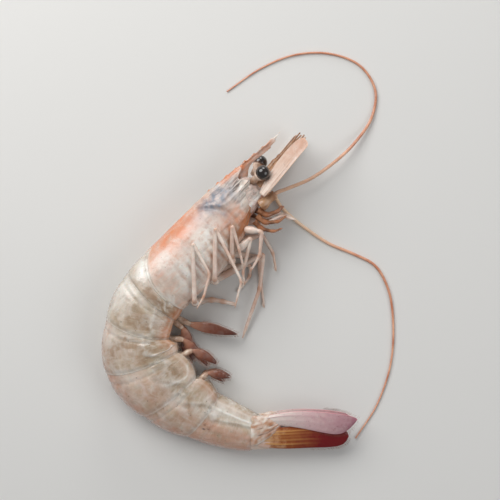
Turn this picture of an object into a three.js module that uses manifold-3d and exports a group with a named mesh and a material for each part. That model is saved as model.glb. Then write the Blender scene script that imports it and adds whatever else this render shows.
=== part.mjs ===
// A raw, whole, head-on white prawn, lying on its left side and curled into a C.
// Millimetres, +Z up. The head points to +X +Y and the tail to +X; the back is outside the C.
// Each hard plate, eye, feeler, leg, swimmeret and tail blade is a solid of its own.
import * as THREE from "three";
import { mergeVertices } from "three/addons/utils/BufferGeometryUtils.js";
import Module from "manifold-3d";

const wasm = await Module();
wasm.setup();

// ---------------------------------------------------------------- driving dimensions
const GAP = 0.5; // clear space between neighbouring plates, measured along the middle of the body
const REST_FLAT = 0.4; // how deep the flat spots are cut that it lies on
const HEAD_DIRECTION = 44; // degrees from +X, the way the head points
const HEAD_ROLL = 20; // degrees that the head's back is turned upwards
const ROLL_END = 30; // by here along the abdomen the body lies square on its side again

// The shell of the head and thorax, from its back edge (along 0) forwards.
const CARAPACE = { length: 40.4, stations: 15, sides: 24, backBulge: 5.8, backLean: 1.8, frontLean: 3.8 };
const CARAPACE_WIDTH = [[0, 17.4], [8, 17.8], [18, 17], [28, 14.6], [36, 11.6], [42, 9.6]];
const CARAPACE_BACK = [[0, 11], [10, 11.3], [26, 11.2], [38, 10.4], [46, 9.4]];
const CARAPACE_BELLY = [[0, 11.2], [8, 11.2], [15, 10.8], [22, 9.2], [30, 5.2], [36, 2.8], [42, 1.4]];

// The abdomen's six ring plates: length along the middle, degrees it bends, then width, depth and
// the slant of its back edge, all at the back edge. Lobe is how far its sides hang below the middle
// of the belly, and belly the share of the depth that is left under the hollow belly.
const RINGS = [
  { length: 9.5, bend: 11, width: 17.4, depth: 22.4, lean: 2.2, lobe: 0.02, belly: 0.84 },
  { length: 11.5, bend: 29, width: 17.2, depth: 22.8, lean: 2.6, lobe: 0.06, belly: 0.84 },
  { length: 10.5, bend: 36, width: 16.6, depth: 26.8, lean: 2.6, lobe: 0.08, belly: 0.84 },
  { length: 13.5, bend: 19, width: 14.8, depth: 23.2, lean: 2.4, lobe: 0.16, belly: 0.84 },
  { length: 11.8, bend: 14, width: 12.4, depth: 18.2, lean: 1.8, lobe: 0.24, belly: 0.86 },
  { length: 18.4, bend: 13, width: 9.4, depth: 12.2, lean: 0.2, lobe: 0.04, belly: 0.97 },
];
const RING = { stations: 5, sides: 28, tuck: 0.05, bulge: 1.1 };

// The toothed blade on the head's back: where it starts and ends, and how high its ridge is at the tip.
const ROSTRUM = {
  start: 25,
  tip: 57.4,
  thickness: 1.3,
  tipHeight: 9.2,
  root: 5.6, // how deep it sinks into the carapace
  under: 1.8, // its own depth past the carapace
  teeth: 8,
  toothHeight: 0.8,
  smoothTip: 3, // the length of its tip that has no teeth
};
const EYE = { radius: 2.35, stalk: 1.1, side: 5, height: 4.9, rightAlong: 44.2, leftAlong: 46.4 };
const TAIL = { direction: 0, height: 4.9, length: 30 };

// ---------------------------------------------------------------- numbers along a line
const radians = THREE.MathUtils.degToRad;
const lerp = THREE.MathUtils.lerp;
const smooth = (t) => t * t * (3 - 2 * t);
const arc = (t, power = 0.6) => Math.max(Math.sin(Math.PI * t), 0) ** power;

// The value at x of a smooth line through a few [x, value] pairs.
function valueAt(pairs, x) {
  const last = pairs.length - 1;
  if (x <= pairs[0][0]) return pairs[0][1];
  if (x >= pairs[last][0]) return pairs[last][1];
  const i = pairs.findIndex(([at]) => at > x) - 1;
  const slope = (k) => {
    const a = pairs[Math.max(k - 1, 0)];
    const b = pairs[Math.min(k + 1, last)];
    return (b[1] - a[1]) / (b[0] - a[0]);
  };
  const [x0, y0] = pairs[i];
  const [x1, y1] = pairs[i + 1];
  const span = x1 - x0;
  const t = (x - x0) / span;
  const bend = t * (1 - t) * span;
  return lerp(y0, y1, smooth(t)) + bend * ((1 - t) * slope(i) - t * slope(i + 1));
}

// ---------------------------------------------------------------- the line down the middle
// "along" is 0 at the back edge of the carapace, negative into the head, positive to the tail.
const JOINTS = [0];
RINGS.forEach((ring) => JOINTS.push(JOINTS.at(-1) + ring.length));
const WIDTHS = [[0, CARAPACE_WIDTH[0][1]]];
const DEPTHS = [[0, CARAPACE_BACK[0][1] + CARAPACE_BELLY[0][1]]];
RINGS.forEach((ring, i) => {
  WIDTHS.push([JOINTS[i + 1], ring.width]);
  DEPTHS.push([JOINTS[i + 1], ring.depth]);
});

// Position and heading (radians, towards the tail) of the middle line: a straight head, then one arc a ring.
function middle(along) {
  let heading = radians(HEAD_DIRECTION + 180);
  const at = new THREE.Vector2(0, 0);
  if (along <= 0) {
    at.set(Math.cos(heading), Math.sin(heading)).multiplyScalar(along);
    return { at, heading };
  }
  for (let i = 0; i < RINGS.length; i++) {
    const turn = radians(RINGS[i].bend) / RINGS[i].length;
    const last = i === RINGS.length - 1;
    const step = last ? along - JOINTS[i] : Math.min(along - JOINTS[i], RINGS[i].length);
    if (step <= 0) break;
    at.x += (Math.sin(heading + turn * step) - Math.sin(heading)) / turn;
    at.y -= (Math.cos(heading + turn * step) - Math.cos(heading)) / turn;
    heading += turn * step;
  }
  return { at, heading };
}

function rollAt(along) {
  return radians(HEAD_ROLL) * (1 - smooth(THREE.MathUtils.clamp(along / ROLL_END, 0, 1)));
}

// How high the middle line is: the head lies level, and each ring of the abdomen reaches the ground.
function heightAt(along) {
  const roll = rollAt(along);
  const half = valueAt(WIDTHS, along) / 2;
  const deep = valueAt(DEPTHS, along) / 2;
  return Math.hypot(half * Math.cos(roll), deep * Math.sin(roll)) - REST_FLAT;
}

// A point of the body: along its middle line, to its right side, and towards its back.
function bodyPoint(along, right, back) {
  const { at, heading } = middle(along);
  const roll = rollAt(along);
  const out = back * Math.cos(roll) - right * Math.sin(roll);
  const up = back * Math.sin(roll) + right * Math.cos(roll);
  return new THREE.Vector3(
    at.x + out * Math.sin(heading),
    at.y - out * Math.cos(heading),
    heightAt(along) + up,
  );
}
const headPoint = (forward, right, back) => bodyPoint(-forward, right, back);

// ---------------------------------------------------------------- closed surfaces
// Rings of points, one after the other, skinned into one closed mesh with a fan over each end.
function loft(rings) {
  const count = rings[0].length;
  const points = rings.flat();
  const faces = [];
  for (let r = 0; r + 1 < rings.length; r++) {
    for (let i = 0; i < count; i++) {
      const a = r * count + i;
      const b = r * count + ((i + 1) % count);
      faces.push(a, b, a + count, b, b + count, a + count);
    }
  }
  [0, rings.length - 1].forEach((r) => {
    const centre = rings[r].reduce((sum, p) => sum.add(p), new THREE.Vector3()).divideScalar(count);
    points.push(centre);
    for (let i = 0; i < count; i++) {
      const a = r * count + i;
      const b = r * count + ((i + 1) % count);
      faces.push(...(r === 0 ? [points.length - 1, b, a] : [points.length - 1, a, b]));
    }
  });
  return facingOut(points, faces);
}

function facingOut(points, faces) {
  let volume = 0;
  for (let i = 0; i < faces.length; i += 3) {
    const [a, b, c] = [points[faces[i]], points[faces[i + 1]], points[faces[i + 2]]];
    volume += a.dot(b.clone().cross(c));
  }
  if (volume < 0) faces.reverse();
  const geometry = new THREE.BufferGeometry().setFromPoints(points);
  return geometry.setIndex(faces);
}

// A limb or blade: an oval section swept along a path of points. halfWidth and halfThick are
// functions of the share of the points passed; the width lies level when twist is 0.
function sweep(path, { halfWidth, halfThick, twist = 0, sides = 6 }) {
  const up = new THREE.Vector3(0, 0, 1);
  const rings = path.map((at, i) => {
    const share = i / (path.length - 1);
    const way = path[Math.min(i + 1, path.length - 1)].clone().sub(path[Math.max(i - 1, 0)]).normalize();
    const level = new THREE.Vector3().crossVectors(way, up).normalize();
    const wide = level.clone().applyAxisAngle(way, radians(twist));
    const thick = new THREE.Vector3().crossVectors(wide, way);
    return Array.from({ length: sides }, (_, k) => {
      const angle = (2 * Math.PI * k) / sides;
      const across = Math.cos(angle) * halfWidth(share);
      const over = Math.sin(angle) * halfThick(share);
      return at.clone().addScaledVector(wide, across).addScaledVector(thick, over);
    });
  });
  return loft(rings);
}

// Points along straight limbs whose corners are rounded: each inner joint becomes a short bend.
function jointedPath(joints, bendLength = 1.4, steps = 3) {
  const path = [joints[0]];
  for (let i = 1; i + 1 < joints.length; i++) {
    const toward = (other) => {
      const reach = Math.min(bendLength, joints[i].distanceTo(other) / 3);
      return joints[i].clone().add(other.clone().sub(joints[i]).setLength(reach));
    };
    const bend = new THREE.QuadraticBezierCurve3(toward(joints[i - 1]), joints[i], toward(joints[i + 1]));
    path.push(...bend.getPoints(steps));
  }
  path.push(joints.at(-1));
  return path;
}

// ---------------------------------------------------------------- joining and cutting
function solid(geometry) {
  const bare = new THREE.BufferGeometry().setAttribute("position", geometry.getAttribute("position"));
  if (geometry.index) bare.setIndex(geometry.index);
  const merged = mergeVertices(bare, 1e-4);
  return new wasm.Manifold(
    new wasm.Mesh({
      numProp: 3,
      vertProperties: merged.attributes.position.array,
      triVerts: new Uint32Array(merged.index.array),
    }),
  );
}

function geometryOf(made) {
  const { vertProperties, triVerts, numProp, numVert } = made.getMesh();
  const positions = new Float32Array(numVert * 3);
  for (let i = 0; i < numVert; i++) {
    positions.set(vertProperties.subarray(i * numProp, i * numProp + 3), i * 3);
  }
  return new THREE.BufferGeometry()
    .setAttribute("position", new THREE.BufferAttribute(positions, 3))
    .setIndex(new THREE.BufferAttribute(triVerts, 1));
}

// Everything below the ground is cut away, which leaves the flat spots.
const ground = solid(new THREE.BoxGeometry(400, 400, 20).translate(0, 0, -10));
const onGround = (geometry) => geometryOf(solid(geometry).subtract(ground));

// ---------------------------------------------------------------- body plates
// How far a plate's edge runs back at an angle round the body (0 is the back, pi the belly).
const edge = (angle, bulge, lean) => bulge * Math.abs(Math.sin(angle)) ** 0.8 - lean * Math.cos(angle);

// A cross-section point: round over the back, straighter down the sides, hollow under the belly.
function sectionPoint(angle, half, back, deep, belly) {
  const sin = Math.sin(angle);
  const cos = Math.cos(angle);
  const below = cos < 0;
  const hollow = below ? smooth(THREE.MathUtils.clamp((-cos - 0.8) / 0.12, 0, 1)) : 0;
  const shrink = lerp(1, belly, hollow);
  const across = Math.sign(sin) * half * Math.abs(sin) ** (below ? 0.66 : 0.94);
  const over = below ? -deep * (-cos) ** 0.9 : back * cos;
  return [across * shrink, over * shrink];
}

function carapace() {
  const { length, stations, sides, backBulge, backLean, frontLean } = CARAPACE;
  const rings = [];
  for (let i = 0; i <= stations; i++) {
    const share = i / stations;
    rings.push(Array.from({ length: sides }, (_, k) => {
      const angle = (2 * Math.PI * k) / sides;
      const backEdge = edge(angle, backBulge, backLean) - GAP / 2;
      const frontEdge = -length + frontLean * (1 - Math.cos(angle));
      const along = lerp(backEdge, frontEdge, share);
      const forward = Math.max(-along, 0);
      const half = valueAt(CARAPACE_WIDTH, forward) / 2;
      const closing = 1 - 0.3 * Math.max(0, share - 0.88) / 0.12;
      const [across, over] = sectionPoint(
        angle,
        half * closing,
        valueAt(CARAPACE_BACK, forward),
        valueAt(CARAPACE_BELLY, forward) * closing,
        0.9,
      );
      return bodyPoint(along, across, over);
    }));
  }
  return solid(loft(rings)).add(solid(rostrum()));
}

// The toothed blade that runs forward from the ridge of the back between the eyes.
function rostrum() {
  const { start, tip, thickness, tipHeight, root, under, teeth, toothHeight, smoothTip } = ROSTRUM;
  const ridge = (x) => lerp(CARAPACE_BACK[2][1], tipHeight, smooth((x - start) / (tip - start)));
  const below = (x, depth) => [x, ridge(x) - depth];
  const outline = [below(start, under)];
  for (let i = 0; i < teeth; i++) {
    const from = lerp(start, tip - smoothTip, i / teeth);
    const to = lerp(start, tip - smoothTip, (i + 0.85) / teeth);
    const high = toothHeight * (1 - 0.5 * i / teeth);
    outline.push([from, ridge(from)], [to, ridge(to) + high]);
  }
  outline.push([tip, tipHeight], below(lerp(CARAPACE.length, tip, 0.55), under));
  outline.push(below(CARAPACE.length - 2, root), below(start + 6, root));
  const shape = new THREE.Shape(outline.map(([x, y]) => new THREE.Vector2(x, y)));
  const blade = new THREE.ExtrudeGeometry(shape, { depth: thickness, bevelEnabled: false });
  const position = blade.getAttribute("position");
  for (let i = 0; i < position.count; i++) {
    const slim = 1 - 0.5 * Math.max(0, position.getX(i) - start) / (tip - start);
    const right = (position.getZ(i) - thickness / 2) * slim;
    const at = headPoint(position.getX(i), right, position.getY(i));
    position.setXYZ(i, at.x, at.y, at.z);
  }
  return facingOutOf(blade);
}

// The same, for a geometry from a three.js class whose faces may point in after it was mapped.
function facingOutOf(geometry) {
  const bare = new THREE.BufferGeometry().setAttribute("position", geometry.getAttribute("position"));
  if (geometry.index) bare.setIndex(geometry.index);
  const merged = mergeVertices(bare, 1e-4);
  const points = [];
  for (let i = 0; i < merged.attributes.position.count; i++) {
    points.push(new THREE.Vector3().fromBufferAttribute(merged.attributes.position, i));
  }
  const index = merged.index.array;
  const faces = [];
  for (let i = 0; i < index.length; i += 3) {
    const [a, b, c] = index.subarray(i, i + 3);
    if (a !== b && b !== c && c !== a) faces.push(a, b, c);
  }
  return facingOut(points, faces);
}

// One ring plate of the abdomen: a little narrower where it slips under the plate in front, with
// a rounded lobe hanging down each side.
function ringPlate(index) {
  const { stations, sides, tuck, bulge } = RING;
  const rings = [];
  for (let i = 0; i <= stations; i++) {
    const share = i / stations;
    const size = 1 - tuck * (1 - share) ** 1.5;
    rings.push(Array.from({ length: sides }, (_, k) => {
      const angle = (2 * Math.PI * k) / sides;
      const front = index === 0
        ? edge(angle, CARAPACE.backBulge, CARAPACE.backLean)
        : edge(angle, bulge, RINGS[index - 1].lean);
      const rear = edge(angle, bulge, RINGS[index].lean);
      const along = lerp(JOINTS[index] + front + GAP / 2, JOINTS[index + 1] + rear - GAP / 2, share);
      const half = (valueAt(WIDTHS, along) / 2) * size;
      const deep = (valueAt(DEPTHS, along) / 2) * size;
      const drop = deep * (1 + RINGS[index].lobe * arc(share, 0.7));
      return bodyPoint(along, ...sectionPoint(angle, half, deep, drop, RINGS[index].belly));
    }));
  }
  return solid(loft(rings));
}

// ---------------------------------------------------------------- head pieces
// A shiny round eye on a short stalk that reaches back to the front edge of the carapace.
function eye(side) {
  const { radius, stalk, height } = EYE;
  const forward = side > 0 ? EYE.rightAlong : EYE.leftAlong;
  const centre = headPoint(forward, side * EYE.side, height);
  const root = headPoint(forward - 4.2, side * (EYE.side - 2.6), height - 0.6);
  const reach = ((forward - CARAPACE.length - 0.6) * centre.distanceTo(root)) / 4.2;
  const profile = [new THREE.Vector2(0, -reach), new THREE.Vector2(stalk, -reach)];
  for (let i = 0; i <= 7; i++) {
    const angle = lerp(-0.32, 0.5, i / 7) * Math.PI;
    profile.push(new THREE.Vector2(i === 7 ? 0 : radius * Math.cos(angle), radius * Math.sin(angle)));
  }
  const turn = new THREE.Quaternion().setFromUnitVectors(
    new THREE.Vector3(0, 1, 0),
    centre.clone().sub(root).normalize(),
  );
  return new THREE.LatheGeometry(profile, 14).applyQuaternion(turn).translate(...centre);
}

// The wide flat scale beside each feeler's root.
function antennalScale(side) {
  const steps = 8;
  const path = Array.from({ length: steps + 1 }, (_, i) => {
    const t = i / steps;
    const out = side > 0 ? lerp(6.8, 5.2, t) : -lerp(5.9, 5, t);
    return headPoint(lerp(39, 61.4, t), out, lerp(0.4, 3.4, t) - (side > 0 ? 0 : 0.5));
  });
  return sweep(path, {
    halfWidth: (t) => lerp(1.2, side > 0 ? 3.3 : 2.8, arc(Math.min(t * 1.1, 0.9))) * (t > 0.95 ? 0.35 : 1),
    halfThick: (t) => lerp(0.55, 0.3, t),
    twist: side > 0 ? -46 : 80,
  });
}

// The short feeler: a jointed base and two thin whips.
function antennule(side) {
  const base = [40.4, 47, 53.5].map((x, i) => headPoint(x, side * (1.8 + 0.2 * i), 1.9 + 0.3 * i));
  const stem = sweep(jointedPath(base), {
    halfWidth: (t) => lerp(1.3, 0.95, t),
    halfThick: (t) => lerp(1.2, 0.9, t),
  });
  let made = solid(stem);
  [-1, 1].forEach((way) => {
    const whip = [0, 1, 2, 3].map((i) =>
      headPoint(52.6 + 3.2 * i, side * 2.4 + way * 0.35 * (i + 1), 2.5 + 0.2 * i + way * 0.3 * i));
    made = made.add(solid(sweep(whip, {
      halfWidth: (t) => lerp(0.45, 0.25, t),
      halfThick: (t) => lerp(0.45, 0.25, t),
    })));
  });
  return geometryOf(made);
}

// The stout root joint of a long feeler.
const ANTENNA_BASE = {
  right: { from: [36.4, 4.4, -2.8], to: [42.6, 5.4, -3] },
  left: { from: [36.4, -4.4, -3.2], to: [41.8, -5, -6.4] },
};
function antennaRoot(label) {
  const from = headPoint(...ANTENNA_BASE[label].from);
  const to = headPoint(...ANTENNA_BASE[label].to);
  const path = [0, 0.35, 0.7, 1].map((t) => from.clone().lerp(to, t));
  return sweep(path, { halfWidth: (t) => lerp(2, 1.3, t), halfThick: (t) => lerp(1.9, 1.2, t), sides: 8 });
}

// The long feelers, which lie in wide loose arcs from the ends of their root joints:
// [x, y, height] by hand, from near the root to the tip.
const ANTENNA = { root: 0.62, tip: 0.24, steps: 46, clear: 0.45 };
const ANTENNA_ROUTE = {
  right: [
    [38.6, 28.4, 8.4], [45.4, 31.4, 6.6], [53, 36.7, 4.4], [59.9, 43.2, 2.2], [65.8, 51.9, 0.8],
    [67, 61, 0.5], [62, 69, 0.4], [52, 73, 0.4], [40, 72.5, 0.35], [29, 68, 0.3], [18, 60.5, 0.25],
  ],
  left: [
    [36, 22.4, 1.5], [39.8, 18.7, 1.2], [45.4, 14.4, 0.9], [52, 10.2, 0.6], [59.9, 6.9, 0.5], [67, 3, 0.5],
    [71.4, -5, 0.45], [73, -17, 0.4], [72, -30, 0.35], [67.5, -43, 0.3], [60.5, -54, 0.25],
  ],
};
function antenna(label) {
  const { from, to } = ANTENNA_BASE[label];
  const end = headPoint(...to);
  const start = end.clone().add(end.clone().sub(headPoint(...from)).setLength(ANTENNA.clear));
  const route = [start, ...ANTENNA_ROUTE[label].map((at) => new THREE.Vector3(...at))];
  const curve = new THREE.CatmullRomCurve3(route, false, "centripetal");
  const path = curve.getSpacedPoints(ANTENNA.steps);
  const radius = (t) => lerp(ANTENNA.root, ANTENNA.tip, t);
  path.forEach((at, i) => {
    at.z = Math.max(at.z, radius(i / ANTENNA.steps) + 0.02);
  });
  return sweep(path, { halfWidth: radius, halfThick: radius });
}

// ---------------------------------------------------------------- limbs
// A limb starts at a point of the body and follows its stretches, each [length, direction, rise]. Its root
// reaches back from the start by a length, in the direction of the first stretch or in one of its own.
function limbJoints(start, stretches, [reach, turned] = [0]) {
  const joints = [start];
  stretches.forEach(([length, direction, rise]) => {
    const flat = Math.sqrt(Math.max(length ** 2 - rise ** 2, 0));
    const step = new THREE.Vector3(
      flat * Math.cos(radians(direction)),
      flat * Math.sin(radians(direction)),
      rise,
    );
    joints.push(joints.at(-1).clone().add(step));
  });
  if (turned === undefined) {
    joints[0] = joints[0].clone().add(joints[0].clone().sub(joints[1]).setLength(reach));
  } else {
    const back = new THREE.Vector3(Math.cos(radians(turned)), Math.sin(radians(turned)), 0);
    joints.unshift(joints[0].clone().addScaledVector(back, reach));
  }
  return joints;
}

// How far the roots of the limbs under the belly reach back to end just short of the shell: a length, and a
// direction for the two that would otherwise run past it.
const ROOT_REACH = {
  leg_1_left: [2.16],
  leg_2_left: [2.38],
  leg_3_left: [2.63],
  leg_4_left: [2.5, 170],
  leg_5_left: [2.9, 160],
  maxilliped_right: [1.21],
  maxilliped_left: [1.3],
};

// Walking legs, first to fifth pair: where each leaves the thorax, and its stretches.
const LEG = { thick: 0.85, thin: 0.28 };
const LEGS = {
  leg_1_right: { from: [28, 6.2, -4.6], stretches: [[5, -8, 1], [8, -95, -2], [6, -120, -1]] },
  leg_2_right: { from: [22.5, 6.9, -7.4], stretches: [[4.8, 45, 0.5], [12.2, -103, -3], [4, -80, -1]] },
  leg_3_right: {
    from: [17.5, 7.2, -8.7],
    stretches: [[2.4, 92, 1.6], [10.4, 89, 3.6], [8.3, -74, -2.3], [7, -77, -2.6]],
  },
  leg_4_right: {
    from: [9.2, 7.4, -9.5],
    stretches: [[2.6, 95, 2.5], [16.9, 89, 4.3], [19, -64, -3], [9.2, -104, -2.6]],
  },
  leg_5_right: {
    from: [-0.2, 7.6, -10],
    stretches: [[2.6, 100, 2.5], [19.2, 91, 5.2], [11.3, -62, -1.8], [7.4, -105, -0.8], [4.5, -120, -0.5]],
  },
  leg_1_left: { from: [24.5, -3.6, -9.6], stretches: [[7, 15, 0.4], [7, -60, 0], [6, -80, -0.4]] },
  leg_2_left: { from: [19.5, -3.8, -11.4], stretches: [[8, -5, 0], [9, -85, -0.4], [8, -82, -0.4]] },
  leg_3_left: { from: [14, -2.8, -12.2], stretches: [[8.6, 8, -0.8], [3.8, -92, 0], [6.8, -128, -0.4]] },
  leg_4_left: { from: [8.5, -2.4, -12.6], stretches: [[18.8, 29, 2.4], [11.5, -96, -1], [17.6, -109, -2.6]] },
  leg_5_left: { from: [-0.6, -1.9, -13.2], stretches: [[5.4, 8, 0.6], [3.7, -9, 0], [4.6, -14, -0.3]] },
};
function leg({ from, stretches }, reach) {
  const joints = limbJoints(headPoint(...from), stretches, reach);
  const size = (t) => lerp(LEG.thick, LEG.thin, t ** 1.2);
  return sweep(jointedPath(joints), { halfWidth: size, halfThick: size });
}

// The mouth's own small limb.
function maxilliped(side, reach) {
  const stretches = [[4, -10, side * 0.5], [6, 28, 0], [5, -15, -0.4]];
  const joints = limbJoints(headPoint(31, side * 2.4, -5.6), stretches, reach);
  return sweep(jointedPath(joints), {
    halfWidth: (t) => lerp(1, 0.5, t),
    halfThick: (t) => lerp(0.9, 0.35, t),
  });
}

// Swimmerets: a short stalk and a paddle under each of the first five rings. Each folds back over
// the next, so the heights of the right and left ones above the ground are staggered.
const PADDLES = [
  { length: 21, from: 1.15, fold: -18, wide: 2.6, right: 6.6, left: 4.4 },
  { length: 14, from: 0.35, fold: 44, wide: 2.1, right: 8.2, left: 3.2 },
  { length: 13, from: 0.4, fold: 54, wide: 2, right: 9.6, left: 4.4 },
  { length: 12, from: 0.4, fold: 62, wide: 1.9, right: 10.8, left: 5.6 },
  { length: 10, from: 0.4, fold: 62, wide: 1.7, right: 9.8, left: 2.4 },
];
const PADDLE_SHAPE = [[0, 0.4], [0.22, 0.44], [0.5, 0.9], [0.7, 1], [0.88, 0.75], [1, 0.18]];
const PADDLE_STEPS = 9;
function swimmeret(index, label) {
  const { length, from, fold, wide } = PADDLES[index];
  const along = lerp(JOINTS[index], JOINTS[index + 1], from);
  const deep = (valueAt(DEPTHS, along) / 2) * RINGS[index].belly;
  const start = bodyPoint(along, 0, -deep - 0.8).setZ(PADDLES[index][label]);
  const inward = THREE.MathUtils.radToDeg(middle(along).heading) + 90;
  const joints = limbJoints(start, [
    [length * 0.26, inward - fold * 0.3, 0],
    [length * 0.34, inward - fold, 0],
    [length * 0.4, inward - fold * 1.12, 0],
  ]);
  const path = new THREE.CatmullRomCurve3(joints, false, "centripetal").getSpacedPoints(PADDLE_STEPS);
  return sweep(path, {
    halfWidth: (t) => wide * valueAt(PADDLE_SHAPE, t),
    halfThick: (t) => lerp(0.45, 0.22, t),
    twist: 3,
  });
}

// ---------------------------------------------------------------- tail
// The tail fan's own frame: out along it, to the right side, and towards the back.
const tailRoot = middle(JOINTS.at(-1)).at;
function tailPoint(out, right, back) {
  const way = radians(TAIL.direction);
  return new THREE.Vector3(
    tailRoot.x + out * Math.cos(way) + back * Math.sin(way),
    tailRoot.y + out * Math.sin(way) - back * Math.cos(way),
    lerp(TAIL.height, 3.6, THREE.MathUtils.clamp(out / TAIL.length, 0, 1)) + right,
  );
}

// A blade is narrow at its root, widest past its middle and rounded (or pointed) at its tip.
const ROUNDED = [[0, 0.42], [0.3, 0.68], [0.7, 1], [0.88, 0.88], [0.96, 0.6], [1, 0.2]];
const POINTED = [[0, 0.8], [0.15, 1], [0.5, 0.78], [0.85, 0.34], [1, 0.1]];
const BLADE_STEPS = 9;
const TAIL_BLADES = {
  telson: {
    path: [[1, 0, 2.2], [12, 0, 2.8], [26, 0, 3.6]],
    wide: 2.6,
    thick: 1.6,
    turn: 90,
    shape: POINTED,
  },
  uropod_outer_right: { path: [[2, 3.8, -4.4], [16, 4.8, -5.6], [32.4, 4.9, -2.6]], wide: 3.3, thick: 0.6 },
  uropod_inner_right: { path: [[1.6, 2.6, 0.4], [15, 3, 0.6], [30, 3.2, 2.4]], wide: 3, thick: 0.5 },
  uropod_inner_left: {
    path: [[1.6, -3, 0.4], [15, -3, 0.6], [30, -2.2, 2.2]],
    wide: 3,
    thick: 0.5,
    turn: -8,
  },
  uropod_outer_left: {
    path: [[2, -4.2, -4], [16, -4.2, -5], [30.4, -3.3, -2.6]],
    wide: 3.3,
    thick: 0.5,
    turn: -8,
  },
};
function tailBlade({ path, wide, thick, turn = 8, shape = ROUNDED }) {
  const curve = new THREE.QuadraticBezierCurve3(...path.map((at) => tailPoint(...at)));
  const toTip = (t) => 1 - (1 - t) ** 1.5; // the sections lie closer together towards the tip
  const points = Array.from({ length: BLADE_STEPS + 1 }, (_, i) => curve.getPoint(toTip(i / BLADE_STEPS)));
  return sweep(points, {
    halfWidth: (t) => wide * valueAt(shape, toTip(t)),
    halfThick: (t) => lerp(thick, 0.3, t),
    twist: turn,
    sides: 8,
  });
}

// ---------------------------------------------------------------- the whole prawn
const prawn = new THREE.Group();
function piece(name, geometry, color, roughness = 0.35) {
  const material = new THREE.MeshStandardMaterial({ color, roughness, metalness: 0 });
  const mesh = new THREE.Mesh(geometry, material);
  mesh.name = name;
  prawn.add(mesh);
}

const SHELL = 0xc9bfb2;
const HORN = 0xd9a488;
const PALE = 0xe3cdbd;
const SIDES = [["right", 1], ["left", -1]];

piece("carapace", onGround(geometryOf(carapace())), 0xd8beb0);
RINGS.forEach((_, i) => piece(`abdomen_${i + 1}`, onGround(geometryOf(ringPlate(i))), SHELL));
Object.entries(TAIL_BLADES).forEach(([name, blade]) => piece(name, onGround(tailBlade(blade)), HORN));
SIDES.forEach(([label, side]) => {
  piece(`eye_${label}`, facingOutOf(eye(side)), 0x14110f, 0.08);
  piece(`antennal_scale_${label}`, antennalScale(side), PALE);
  piece(`antennule_${label}`, antennule(side), PALE);
  piece(`antenna_root_${label}`, antennaRoot(label), HORN);
  piece(`antenna_${label}`, antenna(label), HORN);
  piece(`maxilliped_${label}`, maxilliped(side, ROOT_REACH[`maxilliped_${label}`]), PALE);
  PADDLES.forEach((_, i) => piece(`swimmeret_${i + 1}_${label}`, swimmeret(i, label), 0x9a6a5a));
});
Object.entries(LEGS).forEach(([name, shape]) => piece(name, leg(shape, ROOT_REACH[name]), PALE));

// The origin is under the middle of the whole, on the ground.
const box = new THREE.Box3().setFromObject(prawn);
const centre = box.getCenter(new THREE.Vector3());
prawn.children.forEach((mesh) => mesh.geometry.translate(-centre.x, -centre.y, -box.min.z));

export default prawn;
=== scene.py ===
# A raw, whole, head-on white prawn on its left side, curled into a C that opens to +X.
# Sizes are in millimetres and become metres where a mesh is made.
import math
import random

import bpy
from mathutils import Matrix, Vector, noise


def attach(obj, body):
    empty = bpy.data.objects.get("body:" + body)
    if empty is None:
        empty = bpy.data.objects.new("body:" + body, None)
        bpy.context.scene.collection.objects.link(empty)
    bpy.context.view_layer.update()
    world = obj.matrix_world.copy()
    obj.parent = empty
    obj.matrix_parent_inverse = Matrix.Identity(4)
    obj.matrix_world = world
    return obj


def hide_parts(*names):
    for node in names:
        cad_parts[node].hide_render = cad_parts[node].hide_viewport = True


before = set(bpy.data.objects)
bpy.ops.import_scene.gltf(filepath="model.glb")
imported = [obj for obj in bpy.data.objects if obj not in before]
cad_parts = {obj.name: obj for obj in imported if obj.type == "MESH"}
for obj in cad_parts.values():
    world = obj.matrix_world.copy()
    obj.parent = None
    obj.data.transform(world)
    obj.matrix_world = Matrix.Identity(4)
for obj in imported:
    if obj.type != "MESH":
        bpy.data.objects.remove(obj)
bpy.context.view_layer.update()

# ------------------------------------------------------------------ sizes
MM = 0.001
ORIGIN = Vector((25.7005, 8.2314, 0))  # where the row's origin lies in the frame used below
GAP = 0.5  # clear space between neighbouring plates
REST_FLAT = 0.4  # depth of the flat spots it lies on
HEAD_DIRECTION = 44  # degrees from +X, the way the head points
HEAD_ROLL = 20  # degrees that its back is turned upwards
ROLL_END = 30  # by here along the abdomen the body lies square on its side again

CARAPACE = {"length": 40.4, "bulge": 5.8, "lean": 1.8, "front_lean": 3.8}
CARAPACE_WIDTH = [[0, 17.4], [8, 17.8], [18, 17], [28, 14.6], [36, 11.6], [42, 9.6]]
CARAPACE_BACK = [[0, 11], [10, 11.3], [26, 11.2], [38, 10.4], [46, 9.4]]
CARAPACE_BELLY = [[0, 11.2], [8, 11.2], [15, 10.8], [22, 9.2], [30, 5.2], [36, 2.8], [42, 1.4]]

# The six ring plates: length along the middle, degrees of bend, and the rest at the back edge.
RINGS = [
    {"length": 9.5, "bend": 11, "width": 17.4, "depth": 22.4, "lean": 2.2, "lobe": 0.02, "belly": 0.84},
    {"length": 11.5, "bend": 29, "width": 17.2, "depth": 22.8, "lean": 2.6, "lobe": 0.06, "belly": 0.84},
    {"length": 10.5, "bend": 36, "width": 16.6, "depth": 26.8, "lean": 2.6, "lobe": 0.08, "belly": 0.84},
    {"length": 13.5, "bend": 19, "width": 14.8, "depth": 23.2, "lean": 2.4, "lobe": 0.16, "belly": 0.84},
    {"length": 11.8, "bend": 14, "width": 12.4, "depth": 18.2, "lean": 1.8, "lobe": 0.24, "belly": 0.86},
    {"length": 18.4, "bend": 13, "width": 9.4, "depth": 12.2, "lean": 0.2, "lobe": 0.04, "belly": 0.97},
]
TUCK = 0.026  # how much narrower a plate's front is than the plate it slips under
RING_BULGE = 1.1
OVERLAP = 0.2  # how far a plate's thin edge reaches past the joint, over the next plate

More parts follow.
